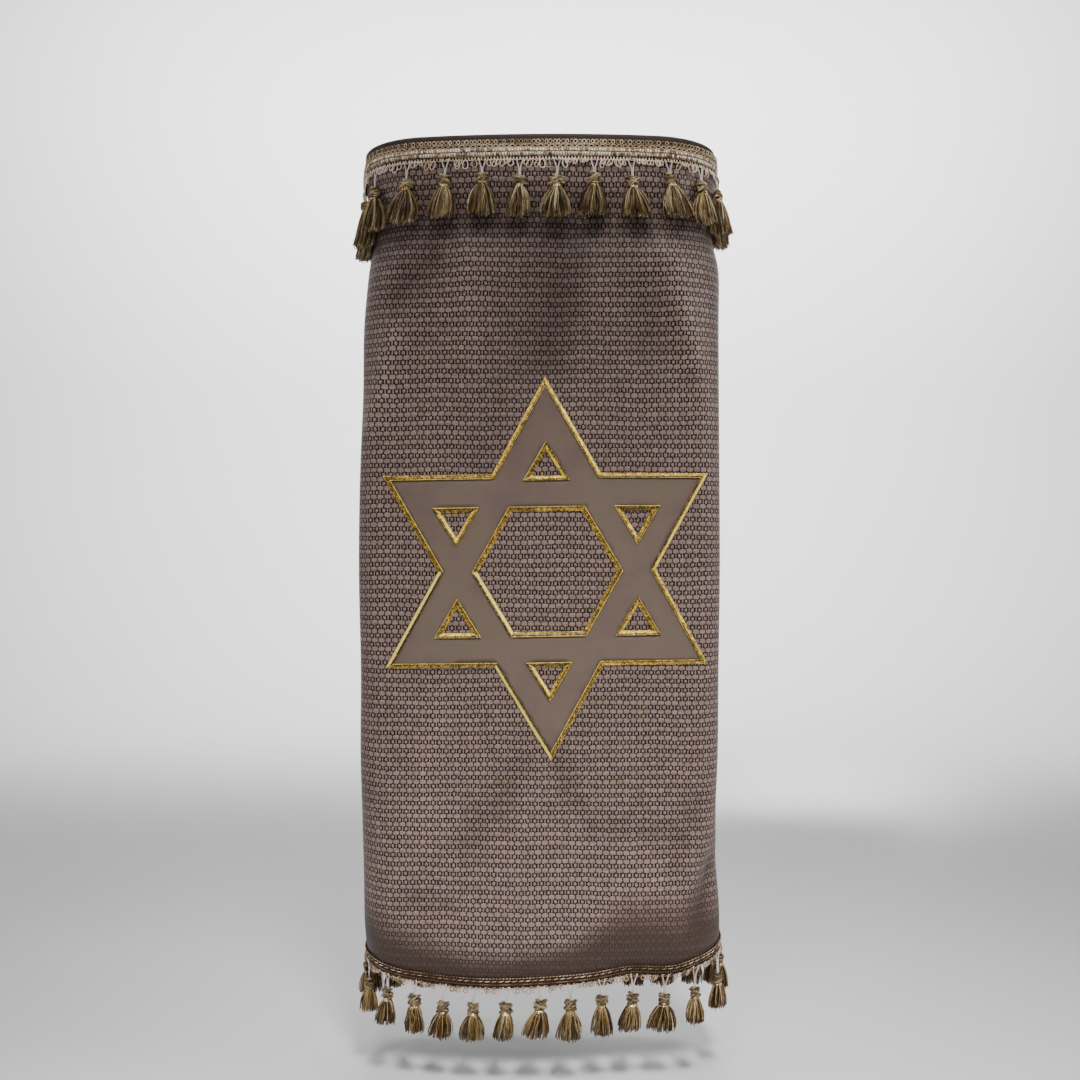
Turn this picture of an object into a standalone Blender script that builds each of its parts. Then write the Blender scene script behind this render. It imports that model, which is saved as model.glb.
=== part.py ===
"""A Torah mantle: a tall hollow cloth cover, flat on top and open below.

The cloth is a tube sewn round the edge of a stiff covered board with two round holes. A braid
hung with tassels goes round the tube under the board, another goes round its hem, and a
six-pointed star edged with raised gold stitching is sewn on the front.

Metres, +Z up. The origin is the centre of the board's underside, which carries the mantle's
weight when it is worn. The front faces -Y and the width runs along X.
"""
import math

import bmesh
import bpy
import numpy as np
from mathutils.geometry import delaunay_2d_cdt

# Board
BOARD_THICKNESS = 0.008
BOARD_EDGE_ROUND = 0.0022
HOLE_DIAMETER = 0.046
HOLE_SPACING = 0.132
HOLE_SIDES = 28

# Cloth and clearances
CLOTH_THICKNESS = 0.0022
GAP = 0.0003
LAID_GAP = 0.0010

# The tube's cross-section is a rounded oblong whose front and back bow outwards.
# Columns: drop (metres below the board), left and right (half widths), front and back (depths at
# the middle), bow (how far the middle stands past the corners), corner (their radius).
SECTIONS = (
    (0.000, 0.1720, 0.1720, 0.0860, 0.0860, 0.0080, 0.0740),
    (0.020, 0.1716, 0.1722, 0.0858, 0.0858, 0.0080, 0.0735),
    (0.050, 0.1698, 0.1735, 0.0852, 0.0850, 0.0075, 0.0705),
    (0.100, 0.1680, 0.1757, 0.0825, 0.0830, 0.0065, 0.0600),
    (0.160, 0.1712, 0.1745, 0.0770, 0.0790, 0.0050, 0.0440),
    (0.230, 0.1712, 0.1740, 0.0742, 0.0765, 0.0045, 0.0320),
    (0.300, 0.1735, 0.1742, 0.0738, 0.0755, 0.0040, 0.0260),
    (0.400, 0.1752, 0.1750, 0.0725, 0.0745, 0.0040, 0.0240),
    (0.500, 0.1746, 0.1748, 0.0698, 0.0730, 0.0040, 0.0270),
    (0.580, 0.1768, 0.1755, 0.0652, 0.0715, 0.0040, 0.0320),
    (0.640, 0.1766, 0.1745, 0.0645, 0.0710, 0.0045, 0.0390),
    (0.700, 0.1756, 0.1768, 0.0685, 0.0712, 0.0050, 0.0450),
    (0.745, 0.1756, 0.1796, 0.0712, 0.0720, 0.0060, 0.0500),
    (0.805, 0.1745, 0.1815, 0.0705, 0.0712, 0.0060, 0.0530),
)

# Facets of half the cross-section, from the middle of the front to the middle of the back.
FRONT_STEPS = 12
CORNER_STEPS = 8
SIDE_STEPS = 3
BACK_CORNER_STEPS = 6
BACK_STEPS = 7
HALF_STEPS = FRONT_STEPS + CORNER_STEPS + SIDE_STEPS + BACK_CORNER_STEPS + BACK_STEPS

# Heights of the tube's rows of facets, as parts of the drop to the hem.
WALL_ROWS = (
    0.0, 0.02, 0.05, 0.085, 0.12, 0.155, 0.19, 0.23, 0.27, 0.31, 0.36, 0.41, 0.46, 0.51,
    0.56, 0.61, 0.655, 0.70, 0.74, 0.78, 0.82, 0.86, 0.895, 0.925, 0.95, 0.975, 1.0,
)

# Soft folds of the tube: each is a ridge (height above 0) or a trough (below 0) along a line
# from one place to another. A place is how far along the tube it lies from the middle of the
# front, to the right above 0, and how far it drops below the board.
# Columns: along and drop where the line starts, along and drop where it ends, height, width.
FOLDS = (
    (0.034, 0.060, 0.016, 0.165, -0.0030, 0.020),
    (-0.140, 0.135, -0.088, 0.100, -0.0050, 0.022),
    (-0.110, 0.160, -0.140, 0.250, 0.0030, 0.016),
    (0.120, 0.085, 0.150, 0.190, 0.0030, 0.016),
    (0.075, 0.090, 0.105, 0.170, -0.0025, 0.024),
    (0.012, 0.600, -0.066, 0.680, -0.0045, 0.022),
    (-0.100, 0.560, -0.120, 0.700, 0.0025, 0.022),
    (0.162, 0.600, 0.132, 0.665, -0.0040, 0.018),
    (0.178, 0.690, 0.160, 0.735, -0.0055, 0.018),
    (0.115, 0.690, 0.070, 0.740, 0.0030, 0.022),
    (0.330, 0.200, 0.350, 0.450, -0.0040, 0.030),
    (-0.345, 0.380, -0.330, 0.640, -0.0040, 0.030),
)

# The hem rises and falls round the tube and its last TUCK_HEIGHT turns inwards.
# Columns: along, drop (of the cloth's lower edge), tuck (how far it turns in).
TUCK_HEIGHT = 0.045
TUCK_LIMIT = 1.1
HEM = (
    (-0.430, 0.7920, 0.004),
    (-0.300, 0.7930, 0.005),
    (-0.213, 0.7835, 0.002),
    (-0.160, 0.7915, 0.006),
    (-0.120, 0.7975, 0.009),
    (-0.060, 0.8018, 0.007),
    (0.000, 0.7996, 0.006),
    (0.058, 0.7946, 0.009),
    (0.085, 0.7900, 0.011),
    (0.130, 0.7900, 0.011),
    (0.158, 0.7830, 0.007),
    (0.185, 0.7770, 0.003),
    (0.220, 0.7715, 0.002),
    (0.300, 0.7880, 0.005),
    (0.430, 0.7920, 0.004),
)

# Braids
BRAID_THICKNESS = 0.0026
TOP_BRAID_HEIGHT = 0.0175
TOP_BRAID_DROP = 0.016
HEM_BRAID_HEIGHT = 0.0105
HEM_BRAID_BELOW = 0.001

# Tassels seen from the front. Columns: along (place on its braid), string (hanging thread),
# lean (how far the skirt swings along the braid), spread (half the skirt's width at its end),
# length (of the whole tassel below the braid). The rest repeat PLAIN_TASSEL round the back.
TOP_TASSELS = (
    (-0.2240, 0.014, -0.002, 0.0125, 0.066),
    (-0.1930, 0.015, -0.003, 0.0125, 0.062),
    (-0.1600, 0.016, -0.003, 0.0125, 0.056),
    (-0.1235, 0.0145, -0.004, 0.0150, 0.055),
    (-0.0868, 0.0130, -0.004, 0.0138, 0.052),
    (-0.0518, 0.0115, 0.000, 0.0140, 0.050),
    (-0.0168, 0.0140, -0.002, 0.0125, 0.052),
    (0.0177, 0.0145, -0.004, 0.0145, 0.052),
    (0.0522, 0.0120, -0.006, 0.0140, 0.051),
    (0.0868, 0.0150, 0.000, 0.0150, 0.052),
    (0.1222, 0.0120, 0.003, 0.0145, 0.051),
    (0.1580, 0.0140, 0.002, 0.0130, 0.054),
    (0.1920, 0.0150, 0.002, 0.0130, 0.058),
    (0.2250, 0.0150, 0.002, 0.0125, 0.062),
)
HEM_TASSELS = (
    (-0.2250, 0.0120, -0.001, 0.0110, 0.045),
    (-0.1970, 0.0130, -0.002, 0.0110, 0.047),
    (-0.1540, 0.0138, -0.004, 0.0114, 0.049),
    (-0.1224, 0.0135, 0.000, 0.0098, 0.050),
    (-0.0930, 0.0160, -0.004, 0.0125, 0.051),
    (-0.0634, 0.0147, -0.002, 0.0130, 0.050),
    (-0.0312, 0.0130, -0.004, 0.0100, 0.049),
    (0.0024, 0.0120, -0.006, 0.0140, 0.048),
    (0.0311, 0.0148, -0.002, 0.0130, 0.053),
    (0.0616, 0.0140, 0.000, 0.0112, 0.053),
    (0.0931, 0.0180, -0.004, 0.0120, 0.054),
    (0.1240, 0.0180, -0.004, 0.0145, 0.054),
    (0.1545, 0.0190, -0.001, 0.0100, 0.054),
    (0.1860, 0.0190, -0.002, 0.0108, 0.052),
    (0.2160, 0.0130, 0.000, 0.0110, 0.048),
)
PLAIN_TASSEL = (0.0135, 0.001, 0.0125, 0.051)
TOP_TASSEL_PITCH = 0.0350
HEM_TASSEL_PITCH = 0.0310

# A tassel is a thread, a knot, a tight waist and a skirt of locks. The shares are of the
# skirt's spread, and DEPTH_SHARE is a tassel's depth beside its width.
TASSEL_SIDES = 5
DEPTH_SHARE = 0.85
TURN_STEP = 1.3
THREAD_RADIUS = 0.0010
THREAD_FOOT_RADIUS = 0.0013
THREAD_ROOT = 0.0030
KNOT_RADIUS = 0.0056
KNOT_WIDEST = 0.0043
KNOT_HEIGHT = 0.0095
WAIST_RADIUS = 0.0034
WAIST_FOOT_RADIUS = 0.0037
WAIST_HEIGHT = 0.0035
SHOULDER_SHARE = 0.46
SHOULDER_HEIGHT = 0.0045
LOCK_SHARE = 0.31
LOCK_INNER = 1.3
LOCK_OUTER = 0.8
LOCK_WIDTH = 1.15
LOCK_UNEVEN = 0.0018
SWING = 1.6
STANDOFF_SHARE = 0.95

# Star: two crossed triangles of one plain band, with a six-sided window and six small ones.
STAR_ALONG = 0.0080
STAR_DROP = 0.3960
STAR_RADIUS = 0.1775
STAR_STRETCH = 1.028
STAR_TILT = math.radians(1.0)
WINDOWS_BELOW = 0.0028
WINDOW_RADIUS = 0.0706
SMALL_WINDOW_SIDE = 0.0420
SMALL_WINDOW_DISTANCE = 0.0980
EDGING_WIDTH = 0.0044
EDGING_HEIGHT = 0.0024
PANEL_THICKNESS = 0.0012

# Upright lines, to each side of the middle, at which the star's edges are cut to follow the tube,
# and the least share of an edge between two cuts.
STAR_CUTS = (0.0, 0.020, 0.040, 0.060, 0.080, 0.100, 0.120, 0.137, 0.145, 0.150, 0.154, 0.158)
LEAST_SHARE = 0.03

# Section of a raised line of stitch, as shares of its width and height.
MOUND = ((0.0, 0.0), (0.22, 1.0), (0.78, 1.0), (1.0, 0.0))

# Angle past which the edge between two faces is shaded sharp.
SHARP_ANGLE = math.radians(40)

# Colours
CLOTH_COLOUR = (0.185, 0.145, 0.127)
BOARD_COLOUR = (0.070, 0.054, 0.047)
BRAID_COLOUR = (0.40, 0.30, 0.20)
TASSEL_COLOUR = (0.22, 0.165, 0.085)
PANEL_COLOUR = (0.235, 0.185, 0.160)
GOLD_COLOUR = (0.60, 0.42, 0.12)


def clear_scene():
    """Remove what is in the scene."""
    for thing in list(bpy.data.objects):
        bpy.data.objects.remove(thing, do_unlink=True)


def new_material(name, colour, roughness, metallic=0.0):
    """A plain Principled material."""
    material = bpy.data.materials.new(name)
    material.use_nodes = True
    shader = material.node_tree.nodes["Principled BSDF"]
    shader.inputs["Base Color"].default_value = (*colour, 1.0)
    shader.inputs["Roughness"].default_value = roughness
    shader.inputs["Metallic"].default_value = metallic
    return material


def new_object(name, points, faces, material):
    """An object made of points and faces, with its faces turned outwards and shaded smooth."""
    mesh = bpy.data.meshes.new(name)
    mesh.from_pydata([tuple(map(float, point)) for point in points], [], faces)
    work = bmesh.new()
    work.from_mesh(mesh)
    bmesh.ops.recalc_face_normals(work, faces=work.faces)
    work.to_mesh(mesh)
    work.free()
    mesh.shade_smooth()
    mesh.set_sharp_from_angle(angle=SHARP_ANGLE)
    thing = bpy.data.objects.new(name, mesh)
    bpy.context.scene.collection.objects.link(thing)
    if material is not None:
        mesh.materials.append(material)
    return thing


def smooth_columns(table, where):
    """Read a table's other columns at places in its first one, along a smooth curve.

    Between two rows the curve is the cubic whose slopes there are those of the rows around.
    """
    rows = np.array(table)
    where = np.clip(where, rows[0, 0], rows[-1, 0])
    slopes = np.gradient(rows[:, 1:], rows[:, 0], axis=0)
    start = np.clip(np.searchsorted(rows[:, 0], where, side="right") - 1, 0, len(rows) - 2)
    width = rows[start + 1, 0] - rows[start, 0]
    t = (where - rows[start, 0]) / width
    columns = []
    for column in range(rows.shape[1] - 1):
        low = rows[start, column + 1]
        high = rows[start + 1, column + 1]
        low_slope = slopes[start, column] * width
        high_slope = slopes[start + 1, column] * width
        value = low * (2 * t**3 - 3 * t**2 + 1) + low_slope * (t**3 - 2 * t**2 + t)
        value += high * (3 * t**2 - 2 * t**3) + high_slope * (t**3 - t**2)
        columns.append(value)
    return columns


def outline_sizes(steps, drop):
    """Sizes of the half outline that each step belongs to.

    Returns the depths of the front's and back's corner ends, the bow, the corner radius, and the
    half length of the bowed line with the angle at which it meets its corner. The last two
    depend on each other, and a few rounds settle them.
    """
    left, right, front, back, bow, corner = smooth_columns(SECTIONS, drop)
    half = np.where(steps < 0, left, right)
    flat = half - corner
    for _ in range(4):
        meet = np.arctan(2 * bow / flat)
        flat = half - corner * (1 - np.sin(meet))
    return front - bow, back - bow, bow, corner, flat, meet


def outline(steps, drop):
    """Where the tube's outer face is before its folds, for steps round it and drops down it.

    steps runs from 0 at the middle of the front to HALF_STEPS at the middle of the back, on the
    right above 0 and on the left below. A half outline is a bowed front, a rounded corner, a
    straight side, a rounded corner and a bowed back, each meeting the next without a kink.
    Returns x, y, the outward normal's x and y, and the distance along the outline.
    """
    front_line, back_line, bow, corner, flat, meet = outline_sizes(steps, drop)
    side = np.where(steps < 0, -1.0, 1.0)
    count = np.abs(steps)
    ends = np.cumsum((FRONT_STEPS, CORNER_STEPS, SIDE_STEPS, BACK_CORNER_STEPS))
    quarter = math.pi / 2 - meet
    straight = front_line + back_line - 2 * corner * np.cos(meet)

    f = np.clip(count / FRONT_STEPS, 0, 1)
    c = np.clip((count - ends[0]) / CORNER_STEPS, 0, 1)
    s = np.clip((count - ends[1]) / SIDE_STEPS, 0, 1)
    d = np.clip((count - ends[2]) / BACK_CORNER_STEPS, 0, 1)
    b = np.clip((count - ends[3]) / BACK_STEPS, 0, 1)
    facing = np.arctan(2 * bow * f / flat) + quarter * c
    facing += quarter * d + np.arctan(2 * bow / flat) - np.arctan(2 * bow * (1 - b) / flat)

    first_turn = meet + quarter * c
    second_turn = quarter * d
    x = flat * f + corner * (np.sin(first_turn) - np.sin(meet))
    x += corner * (np.cos(second_turn) - 1) - flat * b
    y = -front_line - bow * (1 - f**2) + corner * (np.cos(meet) - np.cos(first_turn))
    y += straight * s + corner * np.sin(second_turn) + bow * (1 - (1 - b) ** 2)

    along = flat * f + corner * quarter * c + straight * s + corner * quarter * d + flat * b
    return side * x, y, side * np.sin(facing), -np.cos(facing), side * along


def steps_at(along, drop):
    """The steps round the front half of the tube that lie a distance along its outline."""
    _, _, _, corner, flat, meet = outline_sizes(along, drop)
    length = np.abs(along)
    on_front = FRONT_STEPS * np.minimum(length / flat, 1)
    on_corner = CORNER_STEPS * np.maximum(length - flat, 0) / (corner * (math.pi / 2 - meet))
    return np.where(along < 0, -1, 1) * (on_front + on_corner)


def fold_height(along, drop):
    """How far the folds lift the cloth: each fades as a bell with distance from its line."""
    height = np.zeros_like(along)
    for from_along, from_drop, to_along, to_drop, peak, width in FOLDS:
        run_along = to_along - from_along
        run_drop = to_drop - from_drop
        t = (along - from_along) * run_along + (drop - from_drop) * run_drop
        t = np.clip(t / (run_along**2 + run_drop**2), 0, 1)
        away = np.hypot(along - from_along - t * run_along, drop - from_drop - t * run_drop)
        height += peak * np.exp(-((away / width) ** 2))
    return height


def hem_at(steps):
    """The drop of the hem and how far it is tucked in, for steps round the tube."""
    along = outline(steps, np.full_like(steps, SECTIONS[-1][0]))[4]
    return smooth_columns(HEM, along)


def on_tube(steps, drop, lift=0.0):
    """A point on the tube's outer face, lifted outwards by a distance."""
    steps, drop = np.broadcast_arrays(np.asarray(steps, float), np.asarray(drop, float))
    x, y, nx, ny, along = outline(steps, drop)
    hem_drop, tuck = hem_at(steps)
    turn = np.clip((drop - hem_drop + TUCK_HEIGHT) / TUCK_HEIGHT, 0, TUCK_LIMIT)
    out = fold_height(along, drop) - tuck * turn**2 + lift
    return np.stack((x + nx * out, y + ny * out, -drop), axis=-1)


def ring_steps():
    """The steps of every facet edge once round the tube."""
    return np.arange(-HALF_STEPS, HALF_STEPS, dtype=float)


def tube_faces(rows, columns):
    """Four-sided faces of a grid whose columns close into a ring."""
    faces = []
    for row in range(rows - 1):
        for column in range(columns):
            beside = (column + 1) % columns
            low = row * columns
            faces.append((low + column, low + beside, low + columns + beside, low + columns + column))
    return faces


def add_solidify(thing, thickness, offset):
    """Give a sheet its thickness: inwards at offset -1, outwards at +1."""
    solidify = thing.modifiers.new("Thickness", "SOLIDIFY")
    solidify.thickness = thickness
    solidify.offset = offset
    solidify.use_even_offset = True


def open_tube(name, grid, material):
    """A sheet rolled into a ring from a grid of points, its faces turned outwards."""
    rows, columns, _ = grid.shape
    mesh = bpy.data.meshes.new(name)
    mesh.from_pydata([tuple(map(float, point)) for point in grid.reshape(-1, 3)], [],
                     tube_faces(rows, columns))
    mesh.flip_normals()
    mesh.shade_smooth()
    thing = bpy.data.objects.new(name, mesh)
    bpy.context.scene.collection.objects.link(thing)
    mesh.materials.append(material)
    return thing


def wall_grid():
    """The corners of the tube's facets, from just under the board down to its uneven hem."""
    steps = ring_steps()
    parts = np.array(WALL_ROWS)[:, None]
    drops = GAP + parts * (hem_at(steps)[0] - GAP)
    return on_tube(np.broadcast_to(steps, drops.shape), drops)


def on_facets(along, drop, lift):
    """A point lifted off the tube's facets, at a distance along the front and a drop."""
    grid = wall_grid()
    steps = steps_at(along, drop)
    column = np.floor(steps).astype(int)
    across = (steps - column)[:, None]
    rows = np.interp((drop - GAP) / (hem_at(steps)[0] - GAP), WALL_ROWS, range(len(WALL_ROWS)))
    row = np.floor(rows).astype(int)
    down = (rows - row)[:, None]
    upper = grid[row, column + HALF_STEPS] * (1 - across) + grid[row, column + HALF_STEPS + 1] * across
    lower = grid[row + 1, column + HALF_STEPS] * (1 - across)
    lower = lower + grid[row + 1, column + HALF_STEPS + 1] * across
    points = upper * (1 - down) + lower * down
    _, _, nx, ny, _ = outline(steps, drop)
    return points + lift * np.stack((nx, ny, np.zeros_like(nx)), axis=1)


def build_wall():
    """The tube of cloth."""
    wall = open_tube("mantle_wall", wall_grid(), new_material("mantle_wall", CLOTH_COLOUR, 0.8))
    add_solidify(wall, CLOTH_THICKNESS, -1.0)


def build_board():
    """The covered board: the tube's top outline as a slab with a rounded edge and two holes."""
    steps = ring_steps()
    columns = len(steps)
    levels = (
        (0.0, 0.0),
        (BOARD_THICKNESS - BOARD_EDGE_ROUND, 0.0),
        (BOARD_THICKNESS - BOARD_EDGE_ROUND * 0.3, BOARD_EDGE_ROUND * 0.35),
        (BOARD_THICKNESS, BOARD_EDGE_ROUND),
    )
    points = []
    for height, inset in levels:
        ring = on_tube(steps, np.zeros(columns), lift=-inset)
        ring[:, 2] = height
        points.extend(ring)
    faces = tube_faces(len(levels), columns)
    faces.append(tuple(range(columns)))
    faces.append(tuple(range((len(levels) - 1) * columns, len(levels) * columns)))
    board = new_object("top_board", points, faces, new_material("top_board", BOARD_COLOUR, 0.85))
    for side in (-1, 1):
        bpy.ops.mesh.primitive_cylinder_add(
            vertices=HOLE_SIDES, radius=HOLE_DIAMETER / 2, depth=4 * BOARD_THICKNESS,
            location=(side * HOLE_SPACING / 2, 0.0, BOARD_THICKNESS / 2))
        cutter = bpy.context.object
        cutter.name = "hole_cutter_" + ("left" if side < 0 else "right")
        cutter.hide_render = True
        cutter.display_type = "WIRE"
        cut = board.modifiers.new("Hole", "BOOLEAN")
        cut.operation = "DIFFERENCE"
        cut.object = cutter


def tassel_solid(root, upward, outward, sideways, row, reach, seed):
    """Points and faces of one tassel, hanging from a root point inside its braid.

    Rings of TASSEL_SIDES points make the thread, knot, waist and shoulder. Under the shoulder,
    each slice of the ring goes on by itself as a three-sided lock, spreading as it falls.
    upward leads on into the braid, outward and sideways are level directions, and reach is how
    far out the skirt's end lies.
    """
    _, string, lean, spread, length = row
    waist = string + KNOT_HEIGHT
    skirt = waist + WAIST_HEIGHT
    levels = (
        (-THREAD_ROOT, THREAD_RADIUS),
        (string, THREAD_FOOT_RADIUS),
        (string + KNOT_WIDEST, KNOT_RADIUS),
        (waist, WAIST_RADIUS),
        (skirt, WAIST_FOOT_RADIUS),
        (skirt + SHOULDER_HEIGHT, spread * SHOULDER_SHARE),
    )
    angles = TURN_STEP * seed + np.arange(TASSEL_SIDES) * 2 * math.pi / TASSEL_SIDES

    def centre(fall):
        """The tassel's middle: it swings out and sideways in proportion to its fall."""
        if fall < 0:
            return root - fall * upward
        share = fall / length
        middle = root + outward * reach * min(1.0, SWING * share) + sideways * lean * share**2
        return middle + np.array((0.0, 0.0, -fall))

    def spokes(around):
        """Level directions at angles round the tassel."""
        return np.outer(np.cos(around), sideways) + DEPTH_SHARE * np.outer(np.sin(around), outward)

    points = []
    for fall, radius in levels:
        points.extend(centre(fall) + radius * spokes(angles))
    faces = [tuple(reversed(range(TASSEL_SIDES)))]
    faces += tube_faces(len(levels), TASSEL_SIDES)
    shoulder = (len(levels) - 1) * TASSEL_SIDES
    core = len(points)
    points.append(centre(levels[-1][0]))

    half = LOCK_SHARE * spread
    middles = angles + math.pi / TASSEL_SIDES
    for lock, (spoke, across) in enumerate(zip(spokes(middles), spokes(middles + math.pi / 2))):
        beside = (lock + 1) % TASSEL_SIDES
        end = length + LOCK_UNEVEN * math.sin(5.1 * seed + 2.3 * lock)
        middle = centre(end) + (spread - half) * spoke
        tip = len(points)
        points.append(middle - half * LOCK_INNER * spoke)
        points.append(middle + half * (LOCK_OUTER * spoke - LOCK_WIDTH * across))
        points.append(middle + half * (LOCK_OUTER * spoke + LOCK_WIDTH * across))
        faces.append((shoulder + lock, shoulder + beside, tip + 2, tip + 1))
        faces.append((core, shoulder + lock, tip + 1, tip))
        faces.append((shoulder + beside, core, tip, tip + 2))
        faces.append((tip, tip + 1, tip + 2))
    return points, faces


def all_tassels(table, pitch, loop_length):
    """The table's tassels, and plain ones at about the pitch round the rest of the loop."""
    rows = list(table)
    gap = loop_length - (table[-1][0] - table[0][0])
    count = round(gap / pitch)
    for number in range(1, count):
        rows.append((table[-1][0] + number * gap / count, *PLAIN_TASSEL))
    return rows


def at_length(place, lengths, loop):
    """The point of a closed line at a length along it."""
    return np.array([np.interp(place, lengths, loop[:, axis]) for axis in range(3)])


def build_braid(name, top_drop, bottom_drop, table, pitch, on_cloth, colour):
    """A braid round the tube with its tassels fused to its lower edge.

    top_drop and bottom_drop are arrays, one value for each step round the tube. on_cloth is
    true where the tassels lie against the tube and so have to stand off it.
    """
    steps = ring_steps()
    grid = np.stack([on_tube(steps, drop, lift=LAID_GAP) for drop in (top_drop, bottom_drop)])
    braid = open_tube(name, grid, new_material(name, colour, 0.55))
    add_solidify(braid, BRAID_THICKNESS, 1.0)

    loop = np.vstack((grid[-1], grid[-1][:1]))
    upper_loop = np.vstack((grid[-2], grid[-2][:1]))
    cloth_loop = on_tube(steps, bottom_drop + PLAIN_TASSEL[-1])
    cloth_loop = np.vstack((cloth_loop, cloth_loop[:1]))
    lengths = np.concatenate(((0.0,), np.cumsum(np.linalg.norm(np.diff(loop, axis=0), axis=1))))
    loop_length = lengths[-1]
    points = []
    faces = []
    for seed, row in enumerate(all_tassels(table, pitch, loop_length)):
        place = (lengths[HALF_STEPS] + row[0]) % loop_length
        edge = at_length(place, lengths, loop)
        upward = at_length(place, lengths, upper_loop) - edge
        upward /= np.linalg.norm(upward)
        sideways = at_length((place + 0.01) % loop_length, lengths, loop) - edge
        sideways[2] = 0.0
        sideways /= np.linalg.norm(sideways)
        outward = np.array((sideways[1], -sideways[0], 0.0))
        root = edge + np.cross(sideways, upward) * BRAID_THICKNESS / 2
        swell = np.dot(at_length(place, lengths, cloth_loop) - edge, outward)
        reach = STANDOFF_SHARE * row[3] + max(swell, 0.0) if on_cloth else 0.0
        new_points, new_faces = tassel_solid(root, upward, outward, sideways, row, reach, seed)
        first = len(points)
        points.extend(new_points)
        faces.extend(tuple(first + index for index in face) for face in new_faces)
    tassels = new_object(name + "_tassels", points, faces, None)
    tassels.hide_render = True
    tassels.display_type = "WIRE"
    join = braid.modifiers.new("Tassels", "BOOLEAN")
    join.operation = "UNION"
    join.object = tassels


def turned(points):
    """Points of the star's own flat plan, tilted and set at its place on the front."""
    across, up = points[:, 0], points[:, 1]
    along = STAR_ALONG + across * math.cos(STAR_TILT) - up * math.sin(STAR_TILT)
    drop = STAR_DROP - across * math.sin(STAR_TILT) - up * math.cos(STAR_TILT)
    return np.stack((along, drop), axis=1)


def polygon(radius, count, first_angle, centre=(0.0, 0.0)):
    """A regular polygon, anticlockwise."""
    angles = first_angle + np.arange(count) * 2 * math.pi / count
    return np.stack((centre[0] + radius * np.cos(angles), centre[1] + radius * np.sin(angles)), axis=1)


def star_outline():
    """The star's twelve corners, anticlockwise from its top point."""
    tips = polygon(STAR_RADIUS, 6, math.pi / 2)
    notches = polygon(STAR_RADIUS / math.sqrt(3), 6, math.pi / 2 + math.pi / 6)
    return np.stack((tips, notches), axis=1).reshape(-1, 2) * (1.0, STAR_STRETCH)


def small_window(number):
    """One of the six small windows, with its point towards the star's point."""
    angle = math.pi / 2 + number * math.pi / 3
    across = SMALL_WINDOW_DISTANCE * math.cos(angle)
    centre = (across, SMALL_WINDOW_DISTANCE * math.sin(angle) - WINDOWS_BELOW)
    return polygon(SMALL_WINDOW_SIDE / math.sqrt(3), 3, angle, centre)


def offset_polygon(corners, distance):
    """Move every edge of an anticlockwise polygon outwards by a distance, with square mitres."""
    before = corners - np.roll(corners, 1, axis=0)
    after = np.roll(corners, -1, axis=0) - corners
    before /= np.linalg.norm(before, axis=1)[:, None]
    after /= np.linalg.norm(after, axis=1)[:, None]
    normal_before = np.stack((before[:, 1], -before[:, 0]), axis=1)
    normal_after = np.stack((after[:, 1], -after[:, 0]), axis=1)
    mitre = normal_before + normal_after
    mitre /= (1 + np.sum(normal_before * normal_after, axis=1))[:, None]
    return corners + distance * mitre


def cut_shares(start, end):
    """Shares of an edge at which it is cut, with its start first.

    A fairly level edge is cut where it crosses the upright lines, and a steep one also where it
    crosses the rows of the tube's facets.
    """
    shares = [0.0]
    run, fall = end - start
    lines = [(cut * sign - start[0]) / run for cut in STAR_CUTS for sign in (-1, 1)]
    if abs(fall) > abs(run):
        lines += [(row * SECTIONS[-1][0] - start[1]) / fall for row in WALL_ROWS]
    for share in sorted(lines):
        if shares[-1] + LEAST_SHARE < share < 1 - LEAST_SHARE:
            shares.append(share)
    return shares


def build_edging(name, corners, material):
    """A raised line of gold stitch just inside a polygon.

    Its section is a low flat-topped mound, and it is cut where it crosses the upright lines.
    """
    rails = [turned(offset_polygon(corners, EDGING_WIDTH * (share - 1))) for share, _ in MOUND]
    middle = turned(offset_polygon(corners, -EDGING_WIDTH / 2))
    places = [[] for _ in MOUND]
    for corner in range(len(corners)):
        beside = (corner + 1) % len(corners)
        for share in cut_shares(middle[corner], middle[beside]):
            for rail, found in zip(rails, places):
                found.append(rail[corner] * (1 - share) + rail[beside] * share)
    points = []
    for found, (_, rise) in zip(places, MOUND):
        along, drop = np.array(found).T
        points.extend(on_facets(along, drop, LAID_GAP + rise * EDGING_HEIGHT))
    columns = len(places[0])
    last = (len(MOUND) - 1) * columns
    faces = tube_faces(len(MOUND), columns)
    for column in range(columns):
        beside = (column + 1) % columns
        faces.append((column, beside, last + beside, last + column))
    new_object(name, points, faces, material)


def inside(point, corners):
    """Whether a point lies in a polygon, by counting the edges a level line crosses."""
    crossings = 0
    for start, end in zip(corners, np.roll(corners, -1, axis=0)):
        if (start[1] > point[1]) != (end[1] > point[1]):
            share = (point[1] - start[1]) / (end[1] - start[1])
            crossings += start[0] + share * (end[0] - start[0]) > point[0]
    return crossings % 2 == 1


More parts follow.
